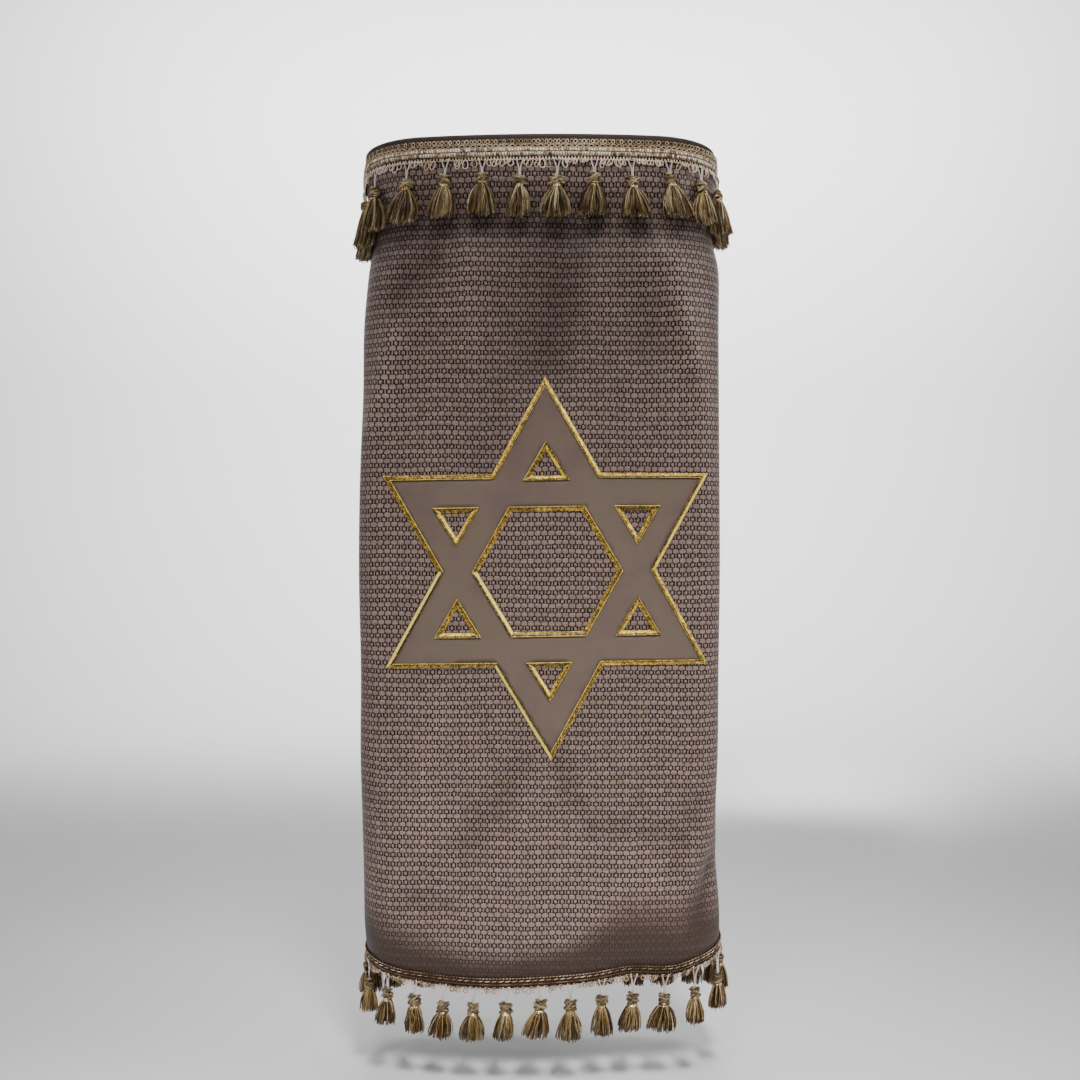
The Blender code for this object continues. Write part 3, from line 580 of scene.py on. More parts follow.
class Finish:
    """A procedural material that is put together a step at a time."""

    def __init__(self, name, **constants):
        self.material = bpy.data.materials.new(name)
        self.material.use_nodes = True
        self.tree = self.material.node_tree
        self.shader = self.tree.nodes["Principled BSDF"].inputs
        for key, value in constants.items():
            self.put(value, self.shader[key.replace("_", " ").title().replace("Ior", "IOR")])

    def put(self, value, socket):
        """Link a value to a socket, or set the socket to a number or colour."""
        if isinstance(value, Value):
            self.tree.links.new(value.socket, socket)
        else:
            socket.default_value = (*value, 1.0) if isinstance(value, tuple) else value

    def step(self, kind, inputs, output=0, **settings):
        """One node of a kind, with its inputs and its output by name or number."""
        node = self.tree.nodes.new("ShaderNode" + kind)
        for key, setting in settings.items():
            setattr(node, key, setting)
        for key, value in inputs.items():
            self.put(value, node.inputs[key])
        return Value(self, node.outputs[output])

    def calc(self, operation, *values, clamp=False):
        """One step of arithmetic."""
        return self.step("Math", dict(enumerate(values)), operation=operation, use_clamp=clamp)

    def where(self, kind):
        """Coordinates: UV or Object."""
        return self.step("TexCoord", {}, kind)

    def kept(self, name):
        """A value kept on the piece's points."""
        return self.step("Attribute", {}, "Fac", attribute_name=name)

    def split(self, vector):
        """A vector's three numbers."""
        return [Value(self, output) for output in self.step("SeparateXYZ", {0: vector}).socket.node.outputs]

    def vector(self, x, y, z=0.0):
        """A vector of three numbers."""
        return self.step("CombineXYZ", {0: x, 1: y, 2: z})

    def grey(self, value):
        """A number as a grey."""
        return self.vector(value, value, value)

    def noise(self, vector, scale, detail=2.0, roughness=0.5):
        """Smooth cloudy variation from 0 to 1."""
        inputs = {"Vector": vector, "Scale": scale, "Detail": detail, "Roughness": roughness}
        return self.step("TexNoise", inputs, "Fac")

    def chance(self, x, y):
        """A random number for each pair of whole numbers."""
        return self.step("TexWhiteNoise", {"Vector": self.vector(x, y)}, "Value")

    def sine(self, value, pitch):
        """A wave of a pitch, from -1 to 1."""
        return self.calc("SINE", value * (TURN / pitch))

    def ribs(self, value, pitch):
        """A wave of a pitch, from 0 to 1."""
        return self.grade(self.sine(value, pitch), -1.0, 1.0)

    def ramp(self, factor, *stops):
        """Colours that follow a factor."""
        found = self.step("ValToRGB", {0: factor})
        elements = found.socket.node.color_ramp.elements
        while len(elements) < len(stops):
            elements.new(0.5)
        for element, (position, *colour) in zip(elements, stops):
            element.position = position
            element.color = (*dye(*colour), 1.0)
        return found

    def mix(self, factor, first, second, how="MIX"):
        """Two colours mixed."""
        return self.step("Mix", {0: factor, 6: first, 7: second}, 2, data_type="RGBA", blend_type=how)

    def grade(self, value, low, high, to_low=0.0, to_high=1.0):
        """A value carried from one range to another, held at the ends."""
        return self.step("MapRange", {0: value, 1: low, 2: high, 3: to_low, 4: to_high})

    def done(self, colour, height, distance):
        """The material, with the shader's colour and its small relief, a distance deep."""
        self.put(colour, self.shader["Base Color"])
        bump = self.step("Bump", {"Height": height, "Distance": distance, "Strength": 1.0})
        self.put(bump, self.shader["Normal"])
        return self.material


def unstretched(drop):
    """How much cloth hangs above a drop: the sum of 1 / (1 + stretch x bell of the drop)."""
    places = np.linspace(0, 1, 1001)
    share = 1 / (1 + STRETCH * np.exp(-((places / STRETCH_REACH) ** 2)))
    total = np.concatenate(((0.0,), np.cumsum((share[1:] + share[:-1]) / 2) * (places[1] - places[0])))
    return np.interp(drop, places, total)


def cloth_finish():
    """Taupe jacquard: each cell is 1 - |x / half width|^n - |y / half height|^n, where above 0."""
    finish = Finish("woven_taupe", roughness=0.46, specular_ior_level=0.30)
    u, v, _ = finish.split(finish.where("UV"))
    object_at = finish.where("Object")
    flat_at = finish.vector(u, v)

    def shifted(value, at, scale, reach):
        """A coordinate moved a little by cloudy variation."""
        return (finish.noise(at, scale, 1.0) - 0.5) * reach + value

    def centred(value, shift):
        """Distance from the middle of each repeat, from -0.5 to 0.5."""
        return finish.calc("FRACT", value + shift) - 0.5

    def cell(x, y, half_x, half_y, power):
        """A rounded cell: 1 in its middle and 0 at its edge."""
        return 1.0 - abs(x / half_x) ** power - abs(y / half_y) ** power

    v = shifted(shifted(v, object_at, 16.0, 0.0040), flat_at, 210.0, 0.0016)
    u = shifted(shifted(u, object_at, 23.0, 0.0026), flat_at, 190.0, 0.0018)
    across = u / CELL_WIDTH
    down = v / CELL_PERIOD
    big_x, big_y = centred(across, 0.0), centred(down, 0.0)
    small_x, small_y = centred(across, 0.5), centred(down, 0.5)
    big = cell(big_x, big_y, 0.458, 0.262, 4.2)
    oval = cell(small_x, small_y, 0.226, 0.214, 2.4)
    dash = cell(big_x, small_y, 0.100, 0.230, 3.0)
    raised = finish.calc("MAXIMUM", big, finish.calc("MAXIMUM", oval, dash))
    yarn = finish.noise(flat_at, 820.0, 2.0, 0.65) - 0.5
    face = finish.grade(yarn * 0.9 + raised, 0.04, 0.36)
    dome = finish.calc("SQRT", finish.calc("MAXIMUM", raised, 0.0))
    each = finish.chance(finish.calc("FLOOR", across), finish.calc("FLOOR", down * 2.0))
    # Most cells are taupe, and a few small groups are olive or mauve.
    group = finish.noise(finish.vector(u, v * 1.5), 44.0)
    shade = finish.mix(finish.grade(group, 0.60, 0.68, 0.0, 0.5), dye(137, 115, 106), dye(129, 114, 94))
    shade = finish.mix(finish.grade(group, 0.40, 0.33, 0.0, 0.4), shade, dye(134, 114, 116))
    # Painted shade: the cloth's colour darkens where it falls into a fold and lightens a little on a raised
    # fold.
    painted_fold_shade = finish.kept("fold") * FOLD_SHADE + 1.0
    tint = (yarn * 1.5 + finish.grade(each, 0.0, 1.0, 0.86, 1.16)) * painted_fold_shade
    woven = finish.mix(face, dye(12, 5, 3), finish.mix(1.0, shade, finish.grey(tint), "MULTIPLY"))
    # Towards the hem the cloth is turned: the weave closes up and fine upright ribs show, in dark colours
    # that are painted shade of the cloth turning under.
    ribbed = finish.grade(shifted(finish.kept("above_hem"), object_at, 12.0, 0.9), 1.65, 0.75, 0.0, 0.90)
    rib = yarn * 1.6 + finish.ribs(u, RIB_PITCH) * 0.7
    rib_colour_in_painted_shade = finish.mix(finish.calc("ADD", rib, 0.15, clamp=True), dye(34, 22, 17), dye(79, 60, 50))
    height = finish.mix(ribbed, finish.grey(yarn * 0.5 + dome), finish.grey(rib))
    return finish.done(finish.mix(ribbed, woven, rib_colour_in_painted_shade), height, 0.00042)


def lining_finish():
    """Plain dark lining with a fine slanting twill."""
    finish = Finish("dark_lining", roughness=0.75, specular_ior_level=0.25)
    u, v, _ = finish.split(finish.where("UV"))
    twill = finish.ribs(u + v, TWILL_PITCH)
    return finish.done(finish.mix(twill, dye(40, 32, 28), dye(58, 47, 41)), twill, 0.00012)


def board_finish():
    """Dark cloth in a fine plain weave, over and under threads along and across."""
    finish = Finish("board_cloth", roughness=0.7, specular_ior_level=0.25)
    at = finish.where("Object")
    x, y, z = finish.split(at)
    weave = finish.grade(finish.sine(x + z, BOARD_WEAVE) * finish.sine(y - z, BOARD_WEAVE), -1.0, 1.0)
    mottle = finish.grade(finish.noise(at, 60.0, 3.0), 0.3, 0.7, 0.0, 0.35)
    shade = finish.mix(mottle, finish.mix(weave, dye(45, 33, 27), dye(74, 59, 50)), dye(58, 50, 40))
    return finish.done(shade, weave, 0.00025)


def ground_finish(name, dark, pale, stained):
    """A braid's ground, ribbed along its length."""
    finish = Finish(name, roughness=0.7, specular_ior_level=0.2)
    u, _, _ = finish.split(finish.where("UV"))
    rib = finish.ribs(u, GROUND_RIBS)
    stain = finish.grade(finish.noise(finish.where("Object"), 120.0), 0.35, 0.7, 0.0, 0.5)
    return finish.done(finish.mix(stain, finish.mix(rib, dark, pale), stained), rib, 0.0003)


def silk_finish(name, stops, roughness=0.38, fine=2200.0):
    """Shiny yarn whose colour follows its tone, with twisted fibres as fine relief."""
    finish = Finish(name, roughness=roughness, specular_ior_level=0.5)
    speckle = finish.noise(finish.where("Object"), fine)
    return finish.done(finish.ramp(finish.kept("tone") + (speckle - 0.5) * 0.22, *stops), speckle, 0.00012)


def skirt_finish(name, painted_shade):
    """Tassel yarn: strands of several browns and golds that turn dark brown in patches towards their ends,
    multiplied by a painted shade.
    """
    finish = Finish(name, roughness=0.34, specular_ior_level=0.35)
    at = finish.where("Object")
    speckle = finish.noise(at, 700.0)
    shade = finish.ramp(finish.kept("tone") + (speckle - 0.5) * 0.16, (0.02, 38, 26, 12), (0.18, 72, 53, 26),
                        (0.38, 116, 91, 48), (0.58, 178, 148, 86), (0.80, 240, 217, 166), (0.90, 112, 60, 33),
                        (0.98, 244, 230, 208))
    patch = finish.grade(finish.noise(at, 150.0), 0.42, 0.60)
    brown = patch * finish.grade(finish.kept("run"), 0.30, 0.95, 0.0, 0.62)
    shade = finish.mix(brown, shade, dye(58, 34, 19))
    return finish.done(finish.mix(1.0, shade, painted_shade, "MULTIPLY"), speckle, 0.0001)


def satin_finish():
    """The braid's bright band: two rows of short upright satin threads, cream with dark gaps."""
    finish = Finish("satin_band", roughness=0.30, specular_ior_level=0.9)
    u, v, _ = finish.split(finish.where("UV"))
    row = finish.calc("GREATER_THAN", v, SATIN_SEAM)
    rib = row * 0.5 + u / SATIN_PITCH
    patch = finish.noise(finish.vector(u, 0.0), 55.0, 3.0, 0.7)
    spark = finish.noise(finish.vector(u, v * 0.6), 850.0, 2.0, 0.6)
    tone = (spark - 0.5) * 1.3 + finish.chance(finish.calc("FLOOR", rib), row) * 0.50 + patch * 0.40
    shade = finish.ramp(tone, (0.04, 60, 38, 24), (0.22, 112, 82, 54), (0.40, 230, 196, 154),
                        (0.60, 254, 234, 204), (0.80, 255, 246, 228), (0.95, 240, 198, 176))
    sideways = abs(finish.calc("FRACT", rib) - 0.5)
    upright = abs(v - SATIN_SEAM)
    groove = finish.calc("MAXIMUM", finish.grade(sideways, 0.28, 0.45), finish.grade(upright, 0.0007, 0.0002))
    return finish.done(finish.mix(groove * 0.95, shade, dye(40, 24, 16)), 1.0 - groove, 0.0004)


def metal_finish():
    """Gold thread wound round a tassel's waist."""
    finish = Finish("waist_metal", roughness=0.25, metallic=0.9)
    speckle = finish.noise(finish.where("Object"), 1500.0, 1.0)
    shade = finish.ramp(finish.kept("tone") * 0.6 + speckle * 0.4, (0.2, 120, 92, 50), (0.5, 214, 188, 132),
                        (0.8, 248, 238, 214))
    return finish.done(shade, speckle, 0.0002)


def suede_finish():
    """Plain suede: a soft nap in clouds and fine specks."""
    finish = Finish("star_suede", roughness=0.95, specular_ior_level=0.1, sheen_weight=0.08,
                    sheen_roughness=0.5, sheen_tint=dye(170, 155, 148))
    at = finish.where("Object")
    specks = finish.noise(at, 1500.0, 3.0, 0.7)
    shade = finish.ramp(finish.noise(at, 22.0, 4.0, 0.6), (0.35, 110, 95, 88), (0.52, 117, 101, 91),
                        (0.68, 115, 103, 88))
    shade = finish.mix(finish.grade(specks, 0.35, 0.7, 0.0, 0.4), shade, dye(97, 83, 75))
    return finish.done(shade, specks, 0.00018)


def gold_finish():
    """Gold satin stitch: painted highlights and painted shade kept on its points make it bright or deep, and
    it is grained all over.
    """
    finish = Finish("gold_stitch", roughness=0.30, metallic=0.30, coat_weight=0.15, coat_roughness=0.18)
    at = finish.where("Object")
    patch = finish.noise(at, 260.0, 3.0, 0.6)
    fine = finish.noise(at, 800.0, 2.0, 0.6)
    # Painted light: the brightness kept on the points sets most of the gold's colour.
    value = finish.kept("tone") * 0.16 + finish.kept("crest") * 0.70 - 0.06
    value = value + (patch - 0.5) * 0.8 + (fine - 0.5) * 1.5
    shade = finish.ramp(value, (0.02, 46, 28, 6), (0.20, 96, 70, 16), (0.38, 176, 138, 40),
                        (0.55, 248, 206, 70), (0.80, 255, 240, 124))
    return finish.done(shade, fine, 0.00045)


def floor_finish():
    """Pale matt floor."""
    finish = Finish("pale_floor", roughness=0.9)
    clouds = finish.noise(finish.where("Object"), 2.0)
    finish.put(finish.mix(clouds, dye(204, 204, 205), dye(209, 209, 209)), finish.shader["Base Color"])
    return finish.material


def build_cloth():
    """The tube of cloth: on_tube at even steps round it and even shares of the drop to the hem."""
    steps = column_steps()
    parts = np.linspace(0, 1, CLOTH_ROWS + 1)[:, None]
    hem_drop = hem_at(steps)[0]
    drop = SEAM_GAP + parts * (hem_drop - SEAM_GAP)
    along = outline(steps, drop)[4]
    turned_up = smooth_columns(TURNED_UP, along[-1])[0]
    unrolled = grid_faces(CLOTH_ROWS + 1, CLOTH_COLUMNS + 1)[:, ::-1].ravel()
    uv = np.stack((along + 0.5, unstretched(drop)), axis=-1).reshape(-1, 2)[unrolled]
    # The folds' heights are kept on the points for the painted shade in the cloth's colour.
    part = grid_part(on_tube(steps[:-1], drop[:, :-1]), flip=True,
                     above_hem=((hem_drop - drop) / turned_up)[:, :-1],
                     fold=np.clip(fold_height(along, drop) / FOLD_DEPTH, -1.2, 1.0)[:, :-1])
    cloth = new_piece("mantle_cloth", [part], cloth_finish(), lining_finish(), corner_uv=uv)
    thicken(cloth, CLOTH_THICKNESS, use_even_offset=True, material_offset=1)
    return add(cloth, "mantle_cloth", "mantle_wall")


def build_board():
    """The covered board.

    Its side is the tube's top outline on a rounded profile. Its top and underside are two halves,
    each ruled from a hole's circle out to the half outline: circle + (edge - circle) x share.
    """
    steps = column_steps()
    plan = on_tube(steps, 0.0)[:, :2] - outward_at(steps, 0.0)[:, :2] * BOARD_EDGE[:, 1, None, None]
    parts = [grid_part(xyz(plan[:, :-1, 0], plan[:, :-1, 1], BOARD_EDGE[:, 0, None]))]
    half = CLOTH_COLUMNS // 2
    for sign in (-1, 1):
        centre = np.array((sign * HOLE_SPACING / 2, 0.0))
        hole = [None] * len(HOLE_EDGE)
        for level, swell in ((0, 0.0), (-1, BOARD_SWELL)):
            border = plan[level, half:] if sign > 0 else plan[level, half::-1]
            border = np.vstack((border, np.linspace(border[-1], border[0], CROSSING_POINTS + 2)[1:-1]))
            away = border - centre
            away /= np.linalg.norm(away, axis=1)[:, None]
            circle = centre + (HOLE_RADIUS + HOLE_EDGE[level, 1]) * away
            spread = circle + BOARD_SHARES * (border - circle)
            height = BOARD_EDGE[level, 0] + swell * np.sin(BOARD_SHARES[..., 0] * math.pi)
            parts.append(grid_part(xyz(spread[..., 0], spread[..., 1], height)))
            hole[level] = circle
        hole[1:-1] = [centre + (HOLE_RADIUS + inset) * away for inset in HOLE_EDGE[1:-1, 1]]
        hole = np.array(hole)
        parts.append(grid_part(xyz(hole[..., 0], hole[..., 1], HOLE_EDGE[:, 0, None])))
    board = new_piece("board_cover", parts, board_finish())
    work = bmesh.new()
    work.from_mesh(board.data)
    bmesh.ops.remove_doubles(work, verts=work.verts, dist=1e-6)
    bmesh.ops.recalc_face_normals(work, faces=work.faces)
    work.to_mesh(board.data)
    work.free()
    return add(board, "board_cover", "top_board")


def build_hole_bindings():
    """A ring of overcast stitches round each hole: a low mound carried round a circle."""
    around = np.arange(BINDING_STITCHES * 3)
    angle = around * TURN / len(around)
    share, rise = BINDING.T[:, :, None]
    radius = HOLE_RADIUS + BINDING_GAP + BINDING_WIDTH * share
    dip = np.where((around % 3 == 0) & (rise > 0.5), BINDING_DIP, 1.0)
    tone = np.tile(0.25 + 0.1 * np.sin(around * 1.7), len(BINDING))
    parts = []
    for sign in (-1, 1):
        points = xyz(sign * HOLE_SPACING / 2 + radius * np.cos(angle), radius * np.sin(angle),
                     BOARD_THICKNESS + BINDING_HEIGHT * rise * dip)
        parts.append(grid_part(points, closed_rows=True, flip=True, tone=tone))
    add(new_piece("hole_bindings", parts, silk_finish("binding_thread", DARK_THREAD)), "board_cover")


def carried(line, place, height, lift, radius, tone):
    """A thread all round a braid, through places at heights and lifts."""
    path = line.points(place, height, lift)[None]
    return threads(path, line.outward(place)[None], radius, closed=True, tone=tone[None])


def looped_row(line, pitch, height, width, rise, lift, radius, tone):
    """Small rings in a row: place + width x sin(angle), height - rise x cos(angle)."""
    place, angle = line.run(pitch, 14)
    patch = 0.16 * np.sin(place * 37) + 0.10 * np.sin(place * 251 + 1)
    return carried(line, place + width * np.sin(angle), height - rise * np.cos(angle),
                   lift + 0.0004 * np.sin(angle / 2), radius, tone + patch)


def small_rings(line, pitch, height, rise, width, lift, radius, tone):
    """Closed rings side by side: place + width x sin(angle), height - rise x cos(angle)."""
    centres, _ = line.run(pitch, 1)
    angle = np.arange(12) * math.pi / 6
    wide = width * (1 + 0.16 * np.sin(centres * 613))[:, None]
    place = centres[:, None] + 0.0003 * np.sin(centres * 877)[:, None] + wide * np.sin(angle)
    path = line.points(place, height - rise * np.cos(angle), lift + 0.0003 * np.sin(angle))
    patch = tone + 0.14 * np.sin(centres * 41) + 0.16 * np.sin(centres * 733 + 1)
    return threads(path, line.outward(place), radius, closed=True, tone=patch)


def stitches(line, pitch, height, radius, lift, tone, slant=0.0, wave=0.0, wave_pitch=0.007, closing=0.4,
             per_turn=8):
    """A row of stitches: its radius swells and closes, |sin(angle / 2)|^closing, each turn."""
    place, angle = line.run(pitch, per_turn)
    bend = wave * np.cos(TURN * place / (line.length / round(line.length / wave_pitch)))
    swell = np.maximum(np.abs(np.sin(angle / 2)), 0.02) ** closing
    glint = tone + 0.16 * np.sin(place * 47) + 0.14 * np.sin(place * 301 + 1)
    tilt = slant * ((angle / TURN) % 1 - 0.5)
    sunk = lift - 0.9 * radius * (1 - swell)
    return carried(line, place, height + bend + tilt, sunk, radius * swell, glint)


def crossed_row(line, pitch, height, rise, lift, radius, tone):
    """Two threads that cross and part: height +- rise x sin(angle), lift +- over and under."""
    place, angle = line.run(pitch * 2, 12)
    return [carried(line, place, height + strand * rise * np.sin(angle),
                    lift + strand * 0.0004 * np.cos(angle), radius, tone + 0.12 * np.sin(place * 61 + strand))
            for strand in (-1, 1)]


def hanging_loops(line, gaps, seed, count, radius, least, most, lift, tones):
    """Groups of curled loops below a braid: each a drop shape, sin round and 1 - cos down."""
    rng = np.random.default_rng(seed)
    centres = np.concatenate([
        start + (end - start) * (np.arange(count) + rng.uniform(0.15, 0.85, count)) / count
        for start, end in gaps])
    centres = centres[rng.uniform(0, 1, len(centres)) > LOOPS_LEFT_OUT]
    number = len(centres)
    t = np.linspace(0.0, 1.0, 13)
    fall = rng.uniform(least, most, number)[:, None]
    half = 0.0006 + fall * rng.uniform(0.14, 0.26, number)[:, None]
    skew = rng.uniform(-0.5, 0.5, number)[:, None]
    down = fall * (1 - np.cos(TURN * t)) / 2
    place = centres[:, None] + half * np.sin(TURN * t) * (1 - 0.25 * np.cos(TURN * t)) + skew * down
    out = lift + rng.uniform(0, 0.0012, number)[:, None] + 0.0014 * np.sin(math.pi * t) + 0.0008 * (t - 0.5)
    paths = line.points(place, 0.0008 - down, out)
    return threads(paths, line.outward(place), radius, tone=rng.uniform(*tones, number))


def band(name, line, section, pitch, groove, finish, slot, *nodes):
    """A ribbed band round a braid, closed behind: ribs stand up by |sin| of the place."""
    heights, lifts = section[:, :, None]
    place, angle = line.run(pitch, 4)
    rib = groove * np.abs(np.sin(angle / 2)) * (lifts > lifts.min())
    far = np.append(place, line.length)
    unrolled = grid_faces(len(heights), len(far), closed_rows=True).ravel()
    uv = np.stack(matched(far, heights), axis=-1).reshape(-1, 2)[unrolled]
    part = grid_part(line.points(place, heights, lifts + rib), closed_rows=True)
    return add(new_piece(name, [part], finish, corner_uv=uv), slot, *nodes)


def tassel_rows(table, pitch, length):
    """The table's tassels, and plain ones about a pitch apart round the rest of the braid."""
    gap = length - (table[-1, 0] - table[0, 0])
    count = round(gap / pitch)
    plain = [(table[-1, 0] + number * gap / count, *PLAIN_TASSEL) for number in range(1, count)]
    return np.vstack((table, plain))


def gaps_between(rows, length, clear):
    """Stretches of braid between neighbouring tassels, clear of their strings."""
    places = sorted(rows[:, 0])
    places.append(places[0] + length)
    return [(start + clear, end - clear) for start, end in zip(places, places[1:])]


def top_braid_drop(steps):
    """The drop of the wide braid's lower edge: level, with a bell-shaped sag at the left corner."""
    along = outline(steps, TOP_BRAID_DROP)[4]
    return TOP_BRAID_DROP + SAG_DEPTH * np.exp(-(((along - SAG_ALONG) / SAG_REACH) ** 2))


def hem_braid_drop(steps):
    """The drop of the narrow braid's lower edge, just below the hem."""
    return hem_at(steps)[0] + HEM_BRAID_BELOW


def build_top_braid(cream):
    """Wide gimp braid: rings, a chain, a satin band, a bead row and curled loops."""
    line = BraidLine(top_braid_drop)
    rows = tassel_rows(TOP_TASSELS, TOP_TASSEL_PITCH, line.length)
    ribbed = ground_finish("top_ground", dye(22, 13, 9), dye(66, 46, 32), dye(40, 26, 18))
    ground = band("top_braid_ground", line, TOP_GROUND, GROUND_PITCH, 0.0002, ribbed, "top_trim", "top_braid")
    satin = band("top_satin_band", line, SATIN, SATIN_PITCH, 0.0003, satin_finish(), "top_trim")
    parts = [
        small_rings(line, pitch=0.0039, height=0.0170, rise=0.0017, width=0.0015, lift=0.0021, radius=0.00036,
                    tone=0.41),
        looped_row(line, pitch=0.0030, height=0.0014, width=0.0010, rise=0.0011, lift=0.0020, radius=0.00045,
                   tone=0.62),
        *crossed_row(line, pitch=0.0052, height=0.0129, rise=0.0013, lift=0.0023, radius=0.00046, tone=0.40),
        stitches(line, pitch=0.0026, height=0.0114, radius=0.00036, lift=0.0025, tone=0.62, closing=0.8),
        stitches(line, pitch=0.0026, height=0.0147, radius=0.00034, lift=0.0022, tone=0.40, closing=0.8),
        stitches(line, pitch=0.0030, height=0.0034, radius=0.00028, lift=0.0021, tone=0.22),
    ]
    gimp = add(new_piece("top_gimp", parts, cream), "top_trim")
    loops = hanging_loops(line, gaps_between(rows, line.length, 0.0055), seed=11, count=8, radius=0.00046,
                          least=0.0030, most=0.0088, lift=0.0022, tones=(0.40, 1.0))
    curls = add(new_piece("top_curls", [loops], cream), "top_trim")
    return line, rows, [ground, satin, gimp, curls]


def build_hem_braid(cream):
    """Narrow braid: two twisted lines over a dark band, and a scalloped line with curled loops."""
    line = BraidLine(hem_braid_drop)
    rows = tassel_rows(HEM_TASSELS, HEM_TASSEL_PITCH, line.length)
    ribbed = ground_finish("hem_ground", dye(28, 18, 12), dye(72, 52, 37), dye(50, 35, 25))
    ground = band("hem_braid_ground", line, HEM_GROUND, GROUND_PITCH, 0.0002, ribbed, "hem_trim", "hem_braid")
    parts = [
        stitches(line, pitch=0.0032, height=0.0112, radius=0.00036, lift=0.0021, tone=0.36, slant=0.0006,
                 closing=1.8),
        stitches(line, pitch=0.0066, height=0.0084, radius=0.00050, lift=0.0024, tone=0.33, slant=0.0010,
                 closing=1.4, per_turn=10),
        stitches(line, pitch=0.0024, height=0.0050, radius=0.00105, lift=0.0014, tone=-0.01, closing=0.3),
        stitches(line, pitch=0.0045, height=0.0014, radius=0.00036, lift=0.0022, tone=0.30, slant=0.0007,
                 wave=0.0007, wave_pitch=0.0072, closing=0.7),
        looped_row(line, pitch=0.0052, height=0.0003, width=0.0016, rise=0.0011, lift=0.0018, radius=0.00032,
                   tone=0.38),
    ]
    gimp = add(new_piece("hem_gimp", parts, cream), "hem_trim")
    loops = hanging_loops(line, gaps_between(rows, line.length, 0.0060), seed=23, count=6, radius=0.00044,
                          least=0.0025, most=0.0058, lift=0.0020, tones=(0.16, 0.52))
    curls = add(new_piece("hem_curls", [loops], cream), "hem_trim")
    return line, rows, [ground, gimp, curls]


